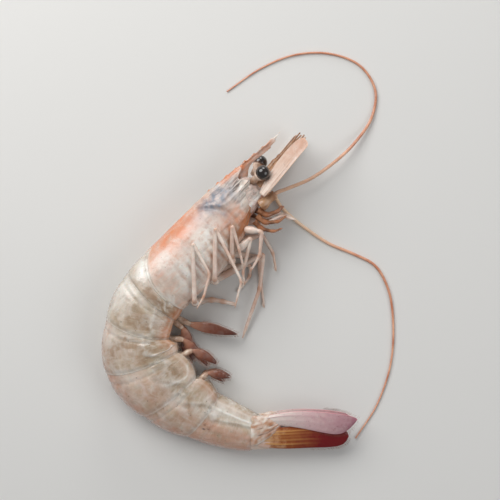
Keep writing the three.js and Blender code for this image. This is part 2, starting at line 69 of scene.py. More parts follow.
ROSTRUM = {
    "start": 25, "tip": 57.4, "half": 0.65, "tip_height": 9.2, "root": 5.6, "under": 1.8,
    "teeth": 8, "tooth": 0.8, "smooth_tip": 3,
}
EYE = {"radius": 2.35, "side": 5, "height": 4.9, "right": 44.2, "left": 46.4}
TAIL = {"direction": 0, "height": 4.9, "tip_height": 3.6, "length": 30}
SIDES = (("right", 1), ("left", -1))
UP = Vector((0, 0, 1))

MEAT_FLOOR = 0.9  # how high the joint skin lies, clear of the plates' inner walls
ROOT_FLOOR = 0.1  # how high the thick joints of the tail stay over the ground
BRISTLE_FLOOR = 0.1  # how high bristles start over the ground
BRISTLE_TIP = 0.01  # radius
SHORTEST_BRISTLE = 0.55  # as a share of the longest
BLADE_TIP = 0.16  # how thick a blade is at its tip


# ------------------------------------------------------------------ numbers along a line
def lerp(a, b, t):
    return a + (b - a) * t


def clamp(x, low=0.0, high=1.0):
    return min(max(x, low), high)


def smooth(t):
    t = clamp(t)
    return t * t * (3 - 2 * t)


def rise(x, start, over):
    """0 up to start, then smoothly to 1 over that much."""
    return smooth((x - start) / over)


def fade(x, start, over):
    """1 up to start, then smoothly to 0 over that much."""
    return 1 - rise(x, start, over)


def hump(x, middle, width):
    """1 at the middle, falling to nothing over about twice the width to each side."""
    return math.exp(-(((x - middle) / width) ** 2))


def arc(t, power=0.6):
    return max(math.sin(math.pi * t), 0) ** power


def value_at(pairs, x):
    """The value at x of a smooth line through a few [x, value] pairs."""
    last = len(pairs) - 1
    if x <= pairs[0][0]:
        return pairs[0][1]
    if x >= pairs[last][0]:
        return pairs[last][1]
    i = next(k for k, pair in enumerate(pairs) if pair[0] > x) - 1

    def slope(k):
        a, b = pairs[max(k - 1, 0)], pairs[min(k + 1, last)]
        return (b[1] - a[1]) / (b[0] - a[0])

    (x0, y0), (x1, y1) = pairs[i], pairs[i + 1]
    span = x1 - x0
    t = (x - x0) / span
    bend = t * (1 - t) * span
    return lerp(y0, y1, smooth(t)) + bend * ((1 - t) * slope(i) - t * slope(i + 1))


# ------------------------------------------------------------------ the line down the middle
JOINTS = [0.0]
for ring in RINGS:
    JOINTS.append(JOINTS[-1] + ring["length"])
WIDTHS = [[0, CARAPACE_WIDTH[0][1]]] + [[JOINTS[i + 1], ring["width"]] for i, ring in enumerate(RINGS)]
FIRST_DEPTH = CARAPACE_BACK[0][1] + CARAPACE_BELLY[0][1]
DEPTHS = [[0, FIRST_DEPTH]] + [[JOINTS[i + 1], ring["depth"]] for i, ring in enumerate(RINGS)]


def middle(along):
    """Place and heading of the middle line: a straight head, then one arc a ring."""
    heading = math.radians(HEAD_DIRECTION + 180)
    if along <= 0:
        return math.cos(heading) * along, math.sin(heading) * along, heading
    x = y = 0.0
    for i, ring in enumerate(RINGS):
        turn = math.radians(ring["bend"]) / ring["length"]
        step = along - JOINTS[i]
        if i < len(RINGS) - 1:
            step = min(step, ring["length"])
        if step <= 0:
            break
        x += (math.sin(heading + turn * step) - math.sin(heading)) / turn
        y -= (math.cos(heading + turn * step) - math.cos(heading)) / turn
        heading += turn * step
    return x, y, heading


def roll_at(along):
    return math.radians(HEAD_ROLL) * (1 - smooth(along / ROLL_END))


def height_at(along):
    roll = roll_at(along)
    half, deep = value_at(WIDTHS, along) / 2, value_at(DEPTHS, along) / 2
    return math.hypot(half * math.cos(roll), deep * math.sin(roll)) - REST_FLAT


def body_point(along, right, back):
    """Along the middle line towards the tail, to its right side (up), and towards its back."""
    x, y, heading = middle(along)
    roll = roll_at(along)
    out = back * math.cos(roll) - right * math.sin(roll)
    up = back * math.sin(roll) + right * math.cos(roll)
    return Vector((x + out * math.sin(heading), y - out * math.cos(heading), height_at(along) + up))


def head_point(forward, right, back):
    return body_point(-forward, right, back)


TAIL_X, TAIL_Y, _ = middle(JOINTS[-1])


def tail_point(out, right, back):
    way = math.radians(TAIL["direction"])
    return Vector((
        TAIL_X + out * math.cos(way) + back * math.sin(way),
        TAIL_Y + out * math.sin(way) - back * math.cos(way),
        lerp(TAIL["height"], TAIL["tip_height"], clamp(out / TAIL["length"])) + right,
    ))


# ------------------------------------------------------------------ making pieces
def new_piece(name, places, edges, faces, marks):
    """A mesh piece, its places in metres, that keeps each mark, a number or a vector, at every point."""
    mesh = bpy.data.meshes.new(name)
    mesh.from_pydata(places, edges, faces)
    for mark, values in marks.items():
        vector = isinstance(values[0], Vector)
        layer = mesh.attributes.new(mark, "FLOAT_VECTOR" if vector else "FLOAT", "POINT")
        flat = [c for v in values for c in v] if vector else values
        layer.data.foreach_set("vector" if vector else "value", flat)
    piece = bpy.data.objects.new(name, mesh)
    bpy.context.scene.collection.objects.link(piece)
    return piece


def finish_piece(piece, slot, *nodes):
    """The piece moves with the prawn and stands for those nodes. Its slot is not used."""
    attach(piece, "root")
    if nodes:
        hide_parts(*nodes)


class Skin:
    """Closed rows of points, skinned into one surface, with the marks of each point beside it. No point
    lies lower than its floor, so that an inner wall stays above the outer one where both reach the ground."""

    def __init__(self, marks):
        self.points, self.faces = [], []
        self.marks = {mark: [] for mark in marks}

    def add(self, point, floor=0.0, **marks):
        self.points.append(Vector((point.x, point.y, max(point.z, floor))))
        for mark, values in self.marks.items():
            values.append(marks.get(mark, 0.0))

    def close(self, count):
        """Joins the rows of count points, fans over both ends, and turns the faces outwards."""
        rows = len(self.points) // count
        for r in range(rows - 1):
            for i in range(count):
                a, b = r * count + i, r * count + (i + 1) % count
                self.faces.append((a, b, b + count, a + count))
        for row in (0, rows - 1):
            ids = [row * count + i for i in range(count)]
            hub = len(self.points)
            self.points.append(sum((self.points[k] for k in ids), Vector()) / count)
            for values in self.marks.values():
                values.append(sum((values[k] for k in ids), values[0] * 0) / count)
            for a, b in zip(ids, ids[1:] + ids[:1]):
                self.faces.append((hub, a, b) if row else (hub, b, a))
        volume = 0.0
        for face in self.faces:
            a = self.points[face[0]]
            for b, c in zip(face[1:], face[2:]):
                volume += a.dot(self.points[b].cross(self.points[c]))
        if volume < 0:
            self.faces = [tuple(reversed(face)) for face in self.faces]

    def join(self, other):
        """Takes in another closed skin."""
        start = len(self.points)
        self.points += other.points
        self.faces += [tuple(k + start for k in face) for face in other.faces]
        for mark in self.marks:
            self.marks[mark] += other.marks[mark]

    def piece(self, name, finish, slot, *nodes):
        """Makes the skin one smooth piece of the prawn."""
        places = [tuple(c * MM for c in point - ORIGIN) for point in self.points]
        piece = new_piece(name, places, [], self.faces, self.marks)
        piece.data.polygons.foreach_set("use_smooth", [True] * len(self.faces))
        piece.data.update()
        piece.data.materials.append(finish)
        finish_piece(piece, slot, *nodes)


# ------------------------------------------------------------------ trees of nodes
def add(tree, kind, settings=None, **links):
    """Adds a node, with its settings, and with its inputs set or linked. A name n_N means input number N."""
    node = tree.nodes.new(kind)
    for key, value in (settings or {}).items():
        setattr(node, key, value)
    for key, value in links.items():
        where = int(key[2:]) if key.startswith("n_") else key.replace("_", " ")
        socket = node.inputs[where]
        if isinstance(value, bpy.types.NodeSocket):
            tree.links.new(value, socket)
        else:
            socket.default_value = value
    return node


def hex_color(code):
    """An sRGB hex value as linear red, green, blue and alpha."""
    parts = [int(code[i:i + 2], 16) / 255 for i in (0, 2, 4)]
    return tuple(c / 12.92 if c <= 0.04045 else ((c + 0.055) / 1.055) ** 2.4 for c in parts) + (1.0,)


def tree_with(name, inputs):
    """A geometry tree with a Geometry input and output and the named inputs, and what it is given."""
    tree = bpy.data.node_groups.new(name, "GeometryNodeTree")
    tree.interface.new_socket("Geometry", in_out="INPUT", socket_type="NodeSocketGeometry")
    for label, kind in inputs.items():
        tree.interface.new_socket(label, in_out="INPUT", socket_type=f"NodeSocket{kind}")
    tree.interface.new_socket("Geometry", in_out="OUTPUT", socket_type="NodeSocketGeometry")
    return tree, tree.nodes.new("NodeGroupInput").outputs


def end_tree(tree, given, shape):
    """Ends a tree with real geometry in the finish it was given."""
    real = add(tree, "GeometryNodeRealizeInstances", Geometry=shape)
    done = add(tree, "GeometryNodeSetMaterial", Geometry=real.outputs["Geometry"], Material=given["Finish"])
    add(tree, "NodeGroupOutput", Geometry=done.outputs["Geometry"])
    return tree


def made_by(piece, tree, values):
    """Runs the tree on the piece and keeps the plain mesh that comes out."""
    modifier = piece.modifiers.new(tree.name, "NODES")
    modifier.node_group = tree
    for item in tree.interface.items_tree:
        if item.item_type == "SOCKET" and item.in_out == "INPUT" and item.name in values:
            modifier[item.identifier] = values[item.name]
    seen = piece.evaluated_get(bpy.context.evaluated_depsgraph_get())
    mesh = bpy.data.meshes.new_from_object(seen)
    piece.modifiers.remove(modifier)
    for vertex in mesh.vertices:
        vertex.co.z = max(vertex.co.z, 0.0)
    old, piece.data = piece.data, mesh
    bpy.data.meshes.remove(old)
    mesh.name = piece.name


def limb_tree():
    """A round limb swept along lines. Girth is the radius at each point; Ringing swells it in even rings."""
    tree, given = tree_with("jointed_limb", {
        "Sides": "Int", "Ring pitch": "Float", "Ringing": "Float", "Finish": "Material"})
    line = add(tree, "GeometryNodeMeshToCurve", Mesh=given["Geometry"])
    girth = add(tree, "GeometryNodeInputNamedAttribute", {"data_type": "FLOAT"}, Name="girth")
    place = add(tree, "GeometryNodeSplineParameter")
    turns = add(tree, "ShaderNodeMath", {"operation": "DIVIDE"}, n_0=place.outputs["Length"],
                n_1=given["Ring pitch"])
    angle = add(tree, "ShaderNodeMath", {"operation": "MULTIPLY"}, n_0=turns.outputs[0], n_1=2 * math.pi)
    wave = add(tree, "ShaderNodeMath", {"operation": "SINE"}, n_0=angle.outputs[0])
    swell = add(tree, "ShaderNodeMath", {"operation": "MULTIPLY_ADD"}, n_0=wave.outputs[0],
                n_1=given["Ringing"], n_2=1.0)
    radius = add(tree, "ShaderNodeMath", {"operation": "MULTIPLY"}, n_0=swell.outputs[0],
                 n_1=girth.outputs["Attribute"])
    circle = add(tree, "GeometryNodeCurvePrimitiveCircle", Resolution=given["Sides"], Radius=1.0)
    swept = add(tree, "GeometryNodeCurveToMesh", Curve=line.outputs["Curve"],
                Profile_Curve=circle.outputs["Curve"], Scale=radius.outputs[0], Fill_Caps=True)
    soft = add(tree, "GeometryNodeSetShadeSmooth", Geometry=swept.outputs["Mesh"])
    return end_tree(tree, given, soft.outputs["Geometry"])


def fringe_tree():
    """A fine tapered bristle, closed at both ends, on every point, along that point's lean vector."""
    tree, given = tree_with("fringe_of_bristles", {
        "Length": "Float", "Root": "Float", "Seed": "Int", "Finish": "Material"})
    points = add(tree, "GeometryNodeMeshToPoints", Mesh=given["Geometry"])
    bristle = add(tree, "GeometryNodeMeshCone", {"fill_type": "NGON"}, Vertices=3,
                  Radius_Top=BRISTLE_TIP * MM, Radius_Bottom=given["Root"], Depth=given["Length"])
    lean = add(tree, "GeometryNodeInputNamedAttribute", {"data_type": "FLOAT_VECTOR"}, Name="lean")
    turned = add(tree, "FunctionNodeAlignRotationToVector", {"axis": "Z"}, Vector=lean.outputs["Attribute"])
    size = add(tree, "FunctionNodeRandomValue", {"data_type": "FLOAT"}, n_2=SHORTEST_BRISTLE, n_3=1.0,
               Seed=given["Seed"])
    stood = add(tree, "GeometryNodeInstanceOnPoints", Points=points.outputs["Points"],
                Instance=bristle.outputs["Mesh"], Rotation=turned.outputs["Rotation"], Scale=size.outputs[1])
    return end_tree(tree, given, stood.outputs["Instances"])


LIMB_TREE = limb_tree()
FRINGE_TREE = fringe_tree()


# ------------------------------------------------------------------ materials
# Settings of nodes and of the shader that several materials share.
MIX = {"data_type": "RGBA"}
TIMES = {"operation": "MULTIPLY", "use_clamp": True}
WATER = {"Coat_IOR": 1.33}  # the film of water on everything
FLESH_GLOW = (1.0, 0.6, 0.45)  # how far red, green and blue light go in it, times its scale in metres
SHELL_MARKS = ("rest", "chalk", "brown", "rose", "orange", "slate", "dark", "rim")


def new_material(name):
    material = bpy.data.materials.new(name)
    material.use_nodes = True
    tree = material.node_tree
    return material, tree, tree.nodes["Principled BSDF"]


def set_shader(shader, **values):
    for key, value in values.items():
        shader.inputs[key.replace("_", " ")].default_value = value


def grain(tree, shader, at, scale, detail, strength, depth, roughness=0.5):
    """Fine unevenness, depth in metres, that breaks up the light on a wet surface."""
    pits = add(tree, "ShaderNodeTexNoise", Vector=at, Scale=scale, Detail=detail, Roughness=roughness)
    bump = add(tree, "ShaderNodeBump", Strength=strength, Distance=depth, Height=pits.outputs["Fac"])
    tree.links.new(bump.outputs["Normal"], shader.inputs["Normal"])


def shell(name, base, deep, fibre=0.35, speck=0.5, wet=0.55, streak=0.1):
    """Thin wet horny shell over white meat: milky, glossy, a little see-through, with faint cross fibres."""
    material, tree, shader = new_material(name)
    marks = {mark: add(tree, "ShaderNodeAttribute", {"attribute_name": mark}).outputs for mark in SHELL_MARKS}
    rest = marks["rest"]["Vector"]
    places = {mark: outputs["Fac"] for mark, outputs in marks.items()}
    crosswise = add(tree, "ShaderNodeMapping", Vector=rest, Scale=(1.5, 0.22, 0.22)).outputs[0]
    lengthwise = add(tree, "ShaderNodeMapping", Vector=rest, Scale=(0.22, 1.1, 1.1)).outputs[0]
    # Milky threads 0.3 mm wide that wander 3 mm apart through the shell.
    wander = add(tree, "ShaderNodeTexNoise", Vector=rest, Scale=0.2, Detail=1.5, Distortion=1.1)
    off = add(tree, "ShaderNodeMath", {"operation": "SUBTRACT"}, n_0=wander.outputs["Fac"], n_1=0.5)
    flat = add(tree, "ShaderNodeMath", {"operation": "ABSOLUTE"}, n_0=off.outputs[0])
    threads = add(tree, "ShaderNodeMapRange", n_0=flat.outputs[0], n_1=0.0, n_2=0.035, n_3=0.2, n_4=0.0)
    places["thread"] = threads.outputs[0]
    # Pigment cells: dots 0.25 mm wide, about one to 2 mm.
    cells = add(tree, "ShaderNodeTexVoronoi", Vector=rest, Scale=0.75)
    dots = add(tree, "ShaderNodeMapRange", n_0=cells.outputs["Distance"], n_1=0.19, n_2=0.1, n_3=0.0,
               n_4=speck)
    places["dot"] = dots.outputs[0]
    # Layers of colour from the meat up. Each has the clouds that break it up, as the way they run, how many
    # there are to a millimetre, their detail and swirl, and the noise at which they start and are full;
    # how strong it is; and its tints, each with the mark that places it, if any.
    layers = [
        (rest, 0.14, 4.0, 0.8, 0.38, 0.62, 1.0, [(None, deep)]),  # clouds 7 mm wide in the meat
        (crosswise, 1.0, 3.0, 0.0, 0.5, 0.72, fibre, [(None, "E6DED3")]),  # fibres 0.7 mm wide
        # Milky clouds 4.5 and 3 mm wide. They are partly the shell's own milkiness and partly painted
        # highlights, the glints of a wet shell.
        (rest, 0.22, 2.5, 0.7, 0.44, 0.68, 0.65, [(None, "DFD8CE")]),
        (rest, 0.32, 1.0, 0.3, 0.54, 0.8, 0.45, [(None, "F0EDE8")]),
        (lengthwise, 0.8, 3.0, 0.4, 0.48, 0.7, streak, [(None, "DDA588")]),  # peach streaks, 1 by 5 mm
        (rest, 0.4, 5.0, 0.0, 0.2, 0.52, 1.0,  # stains, in 2.5 mm clouds so that none has a clean edge
         [("brown", "86633F"), ("rose", "D99E85"), ("orange", "D87C44"), ("slate", "767B86")]),
        (rest, 0.6, 3.0, 0.0, 0.2, 0.5, 1.0, [("chalk", "F0ECE4")]),
        (rest, 0.22, 1.0, 0.0, 0.46, 0.62, 1.0, [("thread", "EFE7DB")]),
        (lengthwise, 1.0, 4.0, 0.6, 0.46, 0.6, 0.9, [("dark", "3A2A22")]),
        (rest, 0.3, 1.0, 0.0, 0.5, 0.62, 1.0, [("dot", "4A3226")]),
    ]
    color = hex_color(base)
    for way, scale, detail, swirl, low, high, strength, tints in layers:
        cloud = add(tree, "ShaderNodeTexNoise", Vector=way, Scale=scale, Detail=detail, Roughness=0.55,
                    Distortion=swirl)
        broken = add(tree, "ShaderNodeMapRange", n_0=cloud.outputs["Fac"], n_1=low, n_2=high, n_3=0.0,
                     n_4=strength)
        for mark, code in tints:
            share = broken.outputs[0]
            if mark:
                share = add(tree, "ShaderNodeMath", TIMES, n_0=places[mark], n_1=share).outputs[0]
            color = add(tree, "ShaderNodeMix", MIX, n_0=share, n_6=color, n_7=hex_color(code)).outputs[2]
    edged = add(tree, "ShaderNodeMath", TIMES, n_0=places["rim"], n_1=0.4)
    color = add(tree, "ShaderNodeMix", MIX, n_0=edged.outputs[0], n_6=color, n_7=hex_color("F3E7DC"))
    tree.links.new(color.outputs[2], shader.inputs["Base Color"])
    # Water lies smooth over it: rougher only where it has drained off.
    cloud = add(tree, "ShaderNodeTexNoise", Vector=rest, Scale=0.35, Detail=3.0, Roughness=0.55)
    drained = add(tree, "ShaderNodeMapRange", n_0=cloud.outputs["Fac"], n_1=0.4, n_2=0.75, n_3=0.14, n_4=0.34)
    tree.links.new(drained.outputs[0], shader.inputs["Roughness"])
    grain(tree, shader, rest, 1.3, 6.0, 0.5, 0.0003, 0.6)
    set_shader(shader, IOR=1.5, Subsurface_Weight=0.25, Subsurface_Radius=FLESH_GLOW, Subsurface_Scale=0.0015,
               Coat_Weight=wet, Coat_Roughness=0.06, **WATER)
    return material


def plain_wet(name, low, high, scale, rough=0.25, coat=0.5, stain="B5744F"):
    """A thin wet horny limb: two shades in clouds, scale of them to a metre, and stains at its joints."""
    material, tree, shader = new_material(name)
    at = add(tree, "ShaderNodeTexCoord").outputs["Object"]
    cloud = add(tree, "ShaderNodeTexNoise", Vector=at, Scale=scale, Detail=4.0, Roughness=0.6)
    share = add(tree, "ShaderNodeMapRange", n_0=cloud.outputs["Fac"], n_1=0.36, n_2=0.64)
    mark = add(tree, "ShaderNodeAttribute", {"attribute_name": "stain"})
    color = hex_color(low)
    for place, code in ((share.outputs[0], high), (mark.outputs["Fac"], stain)):
        color = add(tree, "ShaderNodeMix", MIX, n_0=place, n_6=color, n_7=hex_color(code)).outputs[2]
    tree.links.new(color, shader.inputs["Base Color"])
    grain(tree, shader, at, scale * 5, 3.0, 0.3, 0.00008)
    set_shader(shader, Roughness=rough, IOR=1.5, Coat_Weight=coat, Coat_Roughness=0.07,
               Subsurface_Weight=0.15, Subsurface_Radius=FLESH_GLOW, Subsurface_Scale=0.001, **WATER)
    return material


def blade_horn(name, root, mid, tip, vein, rim, turn=(0.45, 0.95), milk=0.25, speck=0.4):
    """A thin blade of see-through horn, pale at the root and stained to the tip, with veins of another shade.
    turn gives the shares of the length at which the middle shade and the tip's are reached, milk how
    cloudy it is, and speck how dark its pigment cells are."""
    material, tree, shader = new_material(name)
    at = add(tree, "ShaderNodeTexCoord").outputs["Object"]
    outward, veined, edged = (add(tree, "ShaderNodeAttribute", {"attribute_name": mark}).outputs["Fac"]
                              for mark in ("outward", "vein", "rim"))
    cloud = add(tree, "ShaderNodeTexNoise", Vector=at, Scale=420.0, Detail=5.0, Roughness=0.6)
    wander = add(tree, "ShaderNodeMath", {"operation": "MULTIPLY_ADD"}, n_0=cloud.outputs["Fac"], n_1=0.5,
                 n_2=-0.25)
    share = add(tree, "ShaderNodeMath", {"operation": "ADD", "use_clamp": True}, n_0=outward,
                n_1=wander.outputs[0])
    ramp = add(tree, "ShaderNodeValToRGB", Fac=share.outputs[0])
    first, last = ramp.color_ramp.elements
    first.color, first.position = hex_color(root), 0.06
    last.color, last.position = hex_color(tip), turn[1]
    ramp.color_ramp.elements.new(turn[0]).color = hex_color(mid)
    # Milky patches 2 mm wide, and red-brown pigment cells 0.2 mm wide that crowd in the same clouds.
    patch = add(tree, "ShaderNodeTexNoise", Vector=at, Scale=420.0, Detail=4.0, Distortion=0.6)
    haze = add(tree, "ShaderNodeMapRange", n_0=patch.outputs["Fac"], n_1=0.42, n_2=0.72, n_3=0.0, n_4=milk)
    cells = add(tree, "ShaderNodeTexVoronoi", Vector=at, Scale=1300.0)
    dots = add(tree, "ShaderNodeMapRange", n_0=cells.outputs["Distance"], n_1=0.3, n_2=0.12, n_3=0.0,
               n_4=speck)
    crowd = add(tree, "ShaderNodeMapRange", n_0=cloud.outputs["Fac"], n_1=0.42, n_2=0.6)
    shown = add(tree, "ShaderNodeMath", {"operation": "MULTIPLY"}, n_0=dots.outputs[0], n_1=crowd.outputs[0])
    color = ramp.outputs["Color"]
    tints = ((veined, vein), (edged, rim), (haze.outputs[0], "E3D5CB"), (shown.outputs[0], "6A3A30"))
    for place, code in tints:
        color = add(tree, "ShaderNodeMix", MIX, n_0=place, n_6=color, n_7=hex_color(code)).outputs[2]
    tree.links.new(color, shader.inputs["Base Color"])
    grain(tree, shader, at, 2200.0, 3.0, 0.25, 0.00008)
    set_shader(shader, Roughness=0.28, IOR=1.4, Coat_Weight=0.35, Coat_Roughness=0.08,
               Subsurface_Weight=0.1, Subsurface_Radius=(1.0, 0.5, 0.4), Subsurface_Scale=0.001, **WATER)
    return material


def eye_glass():
    """The wet cornea of a dead prawn's eye: near-black, mirror-smooth, with a brown ring at its root."""
    material, tree, shader = new_material("wet_black_cornea")
    at = add(tree, "ShaderNodeTexCoord").outputs["Object"]
    cloud = add(tree, "ShaderNodeTexNoise", Vector=at, Scale=500.0, Detail=2.0)
    root = add(tree, "ShaderNodeAttribute", {"attribute_name": "root"})
    color = hex_color("0B0908")
    for place, code in ((cloud.outputs["Fac"], "2A1D16"), (root.outputs["Fac"], "7A5A48")):
        color = add(tree, "ShaderNodeMix", MIX, n_0=place, n_6=color, n_7=hex_color(code)).outputs[2]
    tree.links.new(color, shader.inputs["Base Color"])
    set_shader(shader, Roughness=0.08, IOR=1.5, Coat_Weight=1.0, Coat_Roughness=0.02, Coat_IOR=1.4)
    return material


# Wet shell over white meat: a milky grey-white gloss, warmer and less shiny over the dark organs of the head.
BODY_SHELL = shell("wet_shell_over_meat", "C6B7A1", "9A8266", wet=0.75)
HEAD_SHELL = shell("wet_head_shell", "DDC6B5", "BC9F8C", fibre=0.25, speck=0.3, wet=0.5, streak=0.6)
# Wet skin and thin horn: soft brown where it is skin, pale and stained at the joints where it is horn.
MEAT = plain_wet("wet_joint_skin", "B39C86", "7F6350", 350, rough=0.3)
LEG_HORN = plain_wet("wet_leg_horn", "EDDDD0", "D4B29F", 200, stain="C08864")
MOUTH_HORN = plain_wet("wet_mouth_parts", "B07A55", "6B4028", 420)
FEELER_HORN = plain_wet("wet_feeler_horn", "E0A98A", "BC7657", 160, stain="EBD0B0")
ROOT_HORN = plain_wet("wet_feeler_root", "C8A07E", "8A5833", 300)
STALK_SKIN = plain_wet("wet_eye_stalk", "D8BFAC", "A07A60", 300)
STALK_HORN = plain_wet("wet_paddle_stalk", "D2BBA6", "94664B", 380)
BRISTLE = plain_wet("wet_bristles", "A5705A", "6E3F33", 500, coat=0.1)
# Blades of thin see-through horn: they take on more of their pigment's colour the nearer to the tip.
SCALE_HORN = blade_horn("wet_antennal_scale", "DCC8B8", "D3B7A5", "C59C86", "A8795C", "EBC09E", milk=0.5)
PADDLE_HORN = blade_horn("wet_paddle_horn", "A8765E", "74412F", "522A20", "96604E", "C09A84", milk=0.1)
LILAC_BLADE = blade_horn("lilac_tail_blade", "DDD0C6", "C9A6A7", "98626F", "BD979B", "CF868C")
# The dark red blade's rim is partly its own colour and partly painted shadow from the blade that lies over
# its edge.
RED_BLADE = blade_horn("dark_red_tail_blade", "CFA67E", "8E4A20", "6C060B", "CC9656", "7E1418",
                       turn=(0.28, 0.62), milk=0.0)
AMBER_BLADE = blade_horn("amber_tail_blade", "DCC0A0", "9C5C2E", "6E2A1C", "CE9A5C", "8A4A34",
                         turn=(0.35, 0.85), milk=0.1)
CORNEA = eye_glass()


# ------------------------------------------------------------------ body plates
def angle_of(k, count):
    """The angle of one of count points round the body: 0 at its back, below 0 on its left side."""
    angle = 2 * math.pi * k / count
    return angle - 2 * math.pi if angle > math.pi else angle


def rounds(steps, count):
    """The share of the length and the angle of every point on rows 0 to steps."""
    return [(row / steps, angle_of(k, count)) for row in range(steps + 1) for k in range(count)]


def edge(angle, bulge, lean):
    """How far a plate's edge runs back at an angle round the body."""
    return bulge * abs(math.sin(angle)) ** 0.8 - lean * math.cos(angle)


def section(angle, half, back, deep, belly):
    """A point of a cross-section: round over the back, straighter down the sides, hollow under the belly."""
    sine, cosine = math.sin(angle), math.cos(angle)
    below = cosine < 0
    hollow = rise(-cosine, 0.8, 0.12) if below else 0.0
    shrink = lerp(1, belly, hollow)
    across = math.copysign(half * abs(sine) ** (0.66 if below else 0.94), sine)
    over = -deep * (-cosine) ** 0.9 if below else back * cosine
    return across * shrink, over * shrink


def cloud_at(rest, size):
    return noise.noise(rest / size)


def flank_line(index, share):
    """The angle of the low ridge that runs along a plate's side, a little different on each."""
    return 1.66 + (0.52 - 0.05 * index) * share ** 2 + 0.05 * math.sin(5 * share + index)


def cheek_mark(index, share, side):
    """The C-shaped welt above the lobe of plates 2 to 5."""
    strength = (0, 0.35, 1.0, 0.7, 0.25, 0)[index]
    size = (1, 0.24, 0.3, 0.34, 0.26, 1)[index]
    turn = math.atan2(side - CHEEK_AT, share - 0.5)
    away = math.hypot((share - 0.5) * 1.3, (side - CHEEK_AT) * 0.9) * (1 + 0.1 * math.sin(3 * turn + index))
    return strength * hump(away, size, 0.035) * rise(share, 0.42, 0.15)


# A plate's free edge: [distance past the edge, depth under the shell], turning in over a lip 0.3 mm thick.
LIP = [(0.0, 0.02), (0.1, 0.06), (0.15, 0.16), (0.12, 0.27), (0.0, 0.33), (-0.5, 0.36), (-1.9, 0.42)]
TUCKED = {"from": -0.5, "over": 1.8, "floor": 0.6}  # where a plate's front lies clear of the lip over it
FRONT_WALL = [-1.7 + 0.34 * k for k in range(5)]  # how far before its front edge a plate's rows start
ROUND = 160  # points round a plate
EDGE_AT = 64  # the one of them at a plate's lower right edge
ABOVE_EDGE = 12  # how many points above it a bristle's lean is taken from
PLATE_STEPS = 44
CHEEK_AT = 2.02  # the angle of the welt's middle

# Patches of tint on the plates: their strength on each of the six, then their middle and spread as an
# angle round the body, and as a share of the plate's length.
ALL_OF_IT = (0.0, 1e9)
PLATE_PATCHES = [
    ("chalk", (0.4, 0.25, 0.3, 0.2, 0.15, 0), (1.2, 0.5), (0.12, 0.12)),
    ("chalk", (0.95, 0.6, 0.4, 0.3, 0.2, 0.1), (0.55, 0.42), (0.35, 0.42)),
    ("brown", (0.8, 0.5, 0.35, 0.3, 0.25, 0.2), (1.75, 0.45), (0.55, 0.42)),
    ("brown", (0.3,) * 6, (1.2, 0.3), (0.7, 0.25)),
    ("brown", (0.8, 0.7, 0.4, 0.2, 0.2, 0.1), (2.36, 0.3), ALL_OF_IT),
    ("orange", (0.45, 0.5, 0.3, 0.15, 0.2, 0.1), (2.36, 0.24), ALL_OF_IT),
    ("slate", (0.2,) * 6, (0.2, 0.3), ALL_OF_IT),
    ("slate", (0.15,) * 6, ALL_OF_IT, (0.95, 0.06)),
    ("rim", (0.6,) * 6, (2.35, 0.05), ALL_OF_IT),
    ("rim", (0.7,) * 6, ALL_OF_IT, (1.0, 0.03)),
]
# Tints of their backs: the strength on each, and the angle at which they start to fade over 0.5.
PLATE_BACKS = [
    ("brown", (0, 0, 0.3, 0.6, 0.5, 0.45), 0.5),
    ("orange", (0, 0, 0.2, 0.45, 0.45, 0.4), 0.4),
    ("rose", (0.1, 0.05, 0.1, 0.3, 0.3, 0.5), 1.3),
]
# The few dark specks by the joints of plates 4 and 6: share of the length, angle and strength.
JOINT_SPECKS = {
    3: ((0.75, 0.8, 0.8), (0.82, 0.7, 0.5)),
    5: ((0.1, 1.12, 0.9), (0.16, 1.2, 0.7), (0.07, 1.3, 0.6)),
}


def ring_tints(index, share, angle):
    """Tints of a ring plate at a share of its length and an angle."""
    side = abs(angle)
    tints = dict.fromkeys(SHELL_MARKS[1:], 0.0)
    for tint, strengths, round_it, along_it in PLATE_PATCHES:
        tints[tint] += strengths[index] * hump(side, *round_it) * hump(share, *along_it)
    for tint, strengths, start in PLATE_BACKS:
        tints[tint] += strengths[index] * fade(side, start, 0.5)
    for at, turn, strength in JOINT_SPECKS.get(index, ()):
        tints["dark"] += 1.6 * strength * hump(share, at, 0.022) * hump(side, turn, 0.035)
    window = rise(share, 0.05, 0.1) * fade(share, 0.76, 0.1)
    tints["chalk"] += (0.4 - 0.05 * index) * hump(side, flank_line(index, share), 0.035) * window
    tints["chalk"] += 0.6 * cheek_mark(index, share, side)
    if index == 5:
        tints["chalk"] += 0.35 * rise(side, 1.62, 0.35) * fade(side, 2.3, 0.3)
        tints["chalk"] += 0.6 * hump(side, CHEEK_AT, 0.045) * window
    return {tint: clamp(strength) for tint, strength in tints.items()}


def ring_relief(index, share, angle, rest):
    """How far the shell stands out, in millimetres."""
    side = abs(angle)
    if not 0 <= share <= 1:
        return 0.0
    # It swells in the middle, dips to its rear edge, and has a groove that crosses its back near the front.
    high = 0.16 * math.sin(math.pi * share) - 0.13 * rise(share, 0.9, 0.1)
    high -= 0.2 * hump(share, 0.2, 0.045) * fade(side, 1.7, 0.3)
    # A ridge runs along each flank, with a hollow above it, then the welt, and a knob at each hinge.
    line = flank_line(index, share)
    high += 0.16 * hump(side, line, 0.05) * rise(share, 0.05, 0.1) * fade(share, 0.76, 0.1)
    high -= 0.14 * hump(side, line - 0.14, 0.07) * rise(share, 0.05, 0.1)
    high += 0.14 * cheek_mark(index, share, side)
    for knob in (0.07, 0.96):
        high += 0.3 * hump(side, 1.72, 0.07) * hump(share, knob, 0.05)
    # The last three have a keel on the back, and the sixth a ridge and a groove on each side.
    if index >= 3:
        high += 0.3 * hump(side, 0.0, 0.08) * smooth(share * 4)
    if index == 5:
        high += 0.12 * hump(side, CHEEK_AT, 0.07) - 0.1 * hump(side, 1.1, 0.1)
    wrinkle = cloud_at(Vector((rest.x, rest.y * 0.35, rest.z * 0.35)), 1.7)
    return high + 0.13 * cloud_at(rest, 4.5) + 0.05 * wrinkle + 0.03 * cloud_at(rest, 1.4)


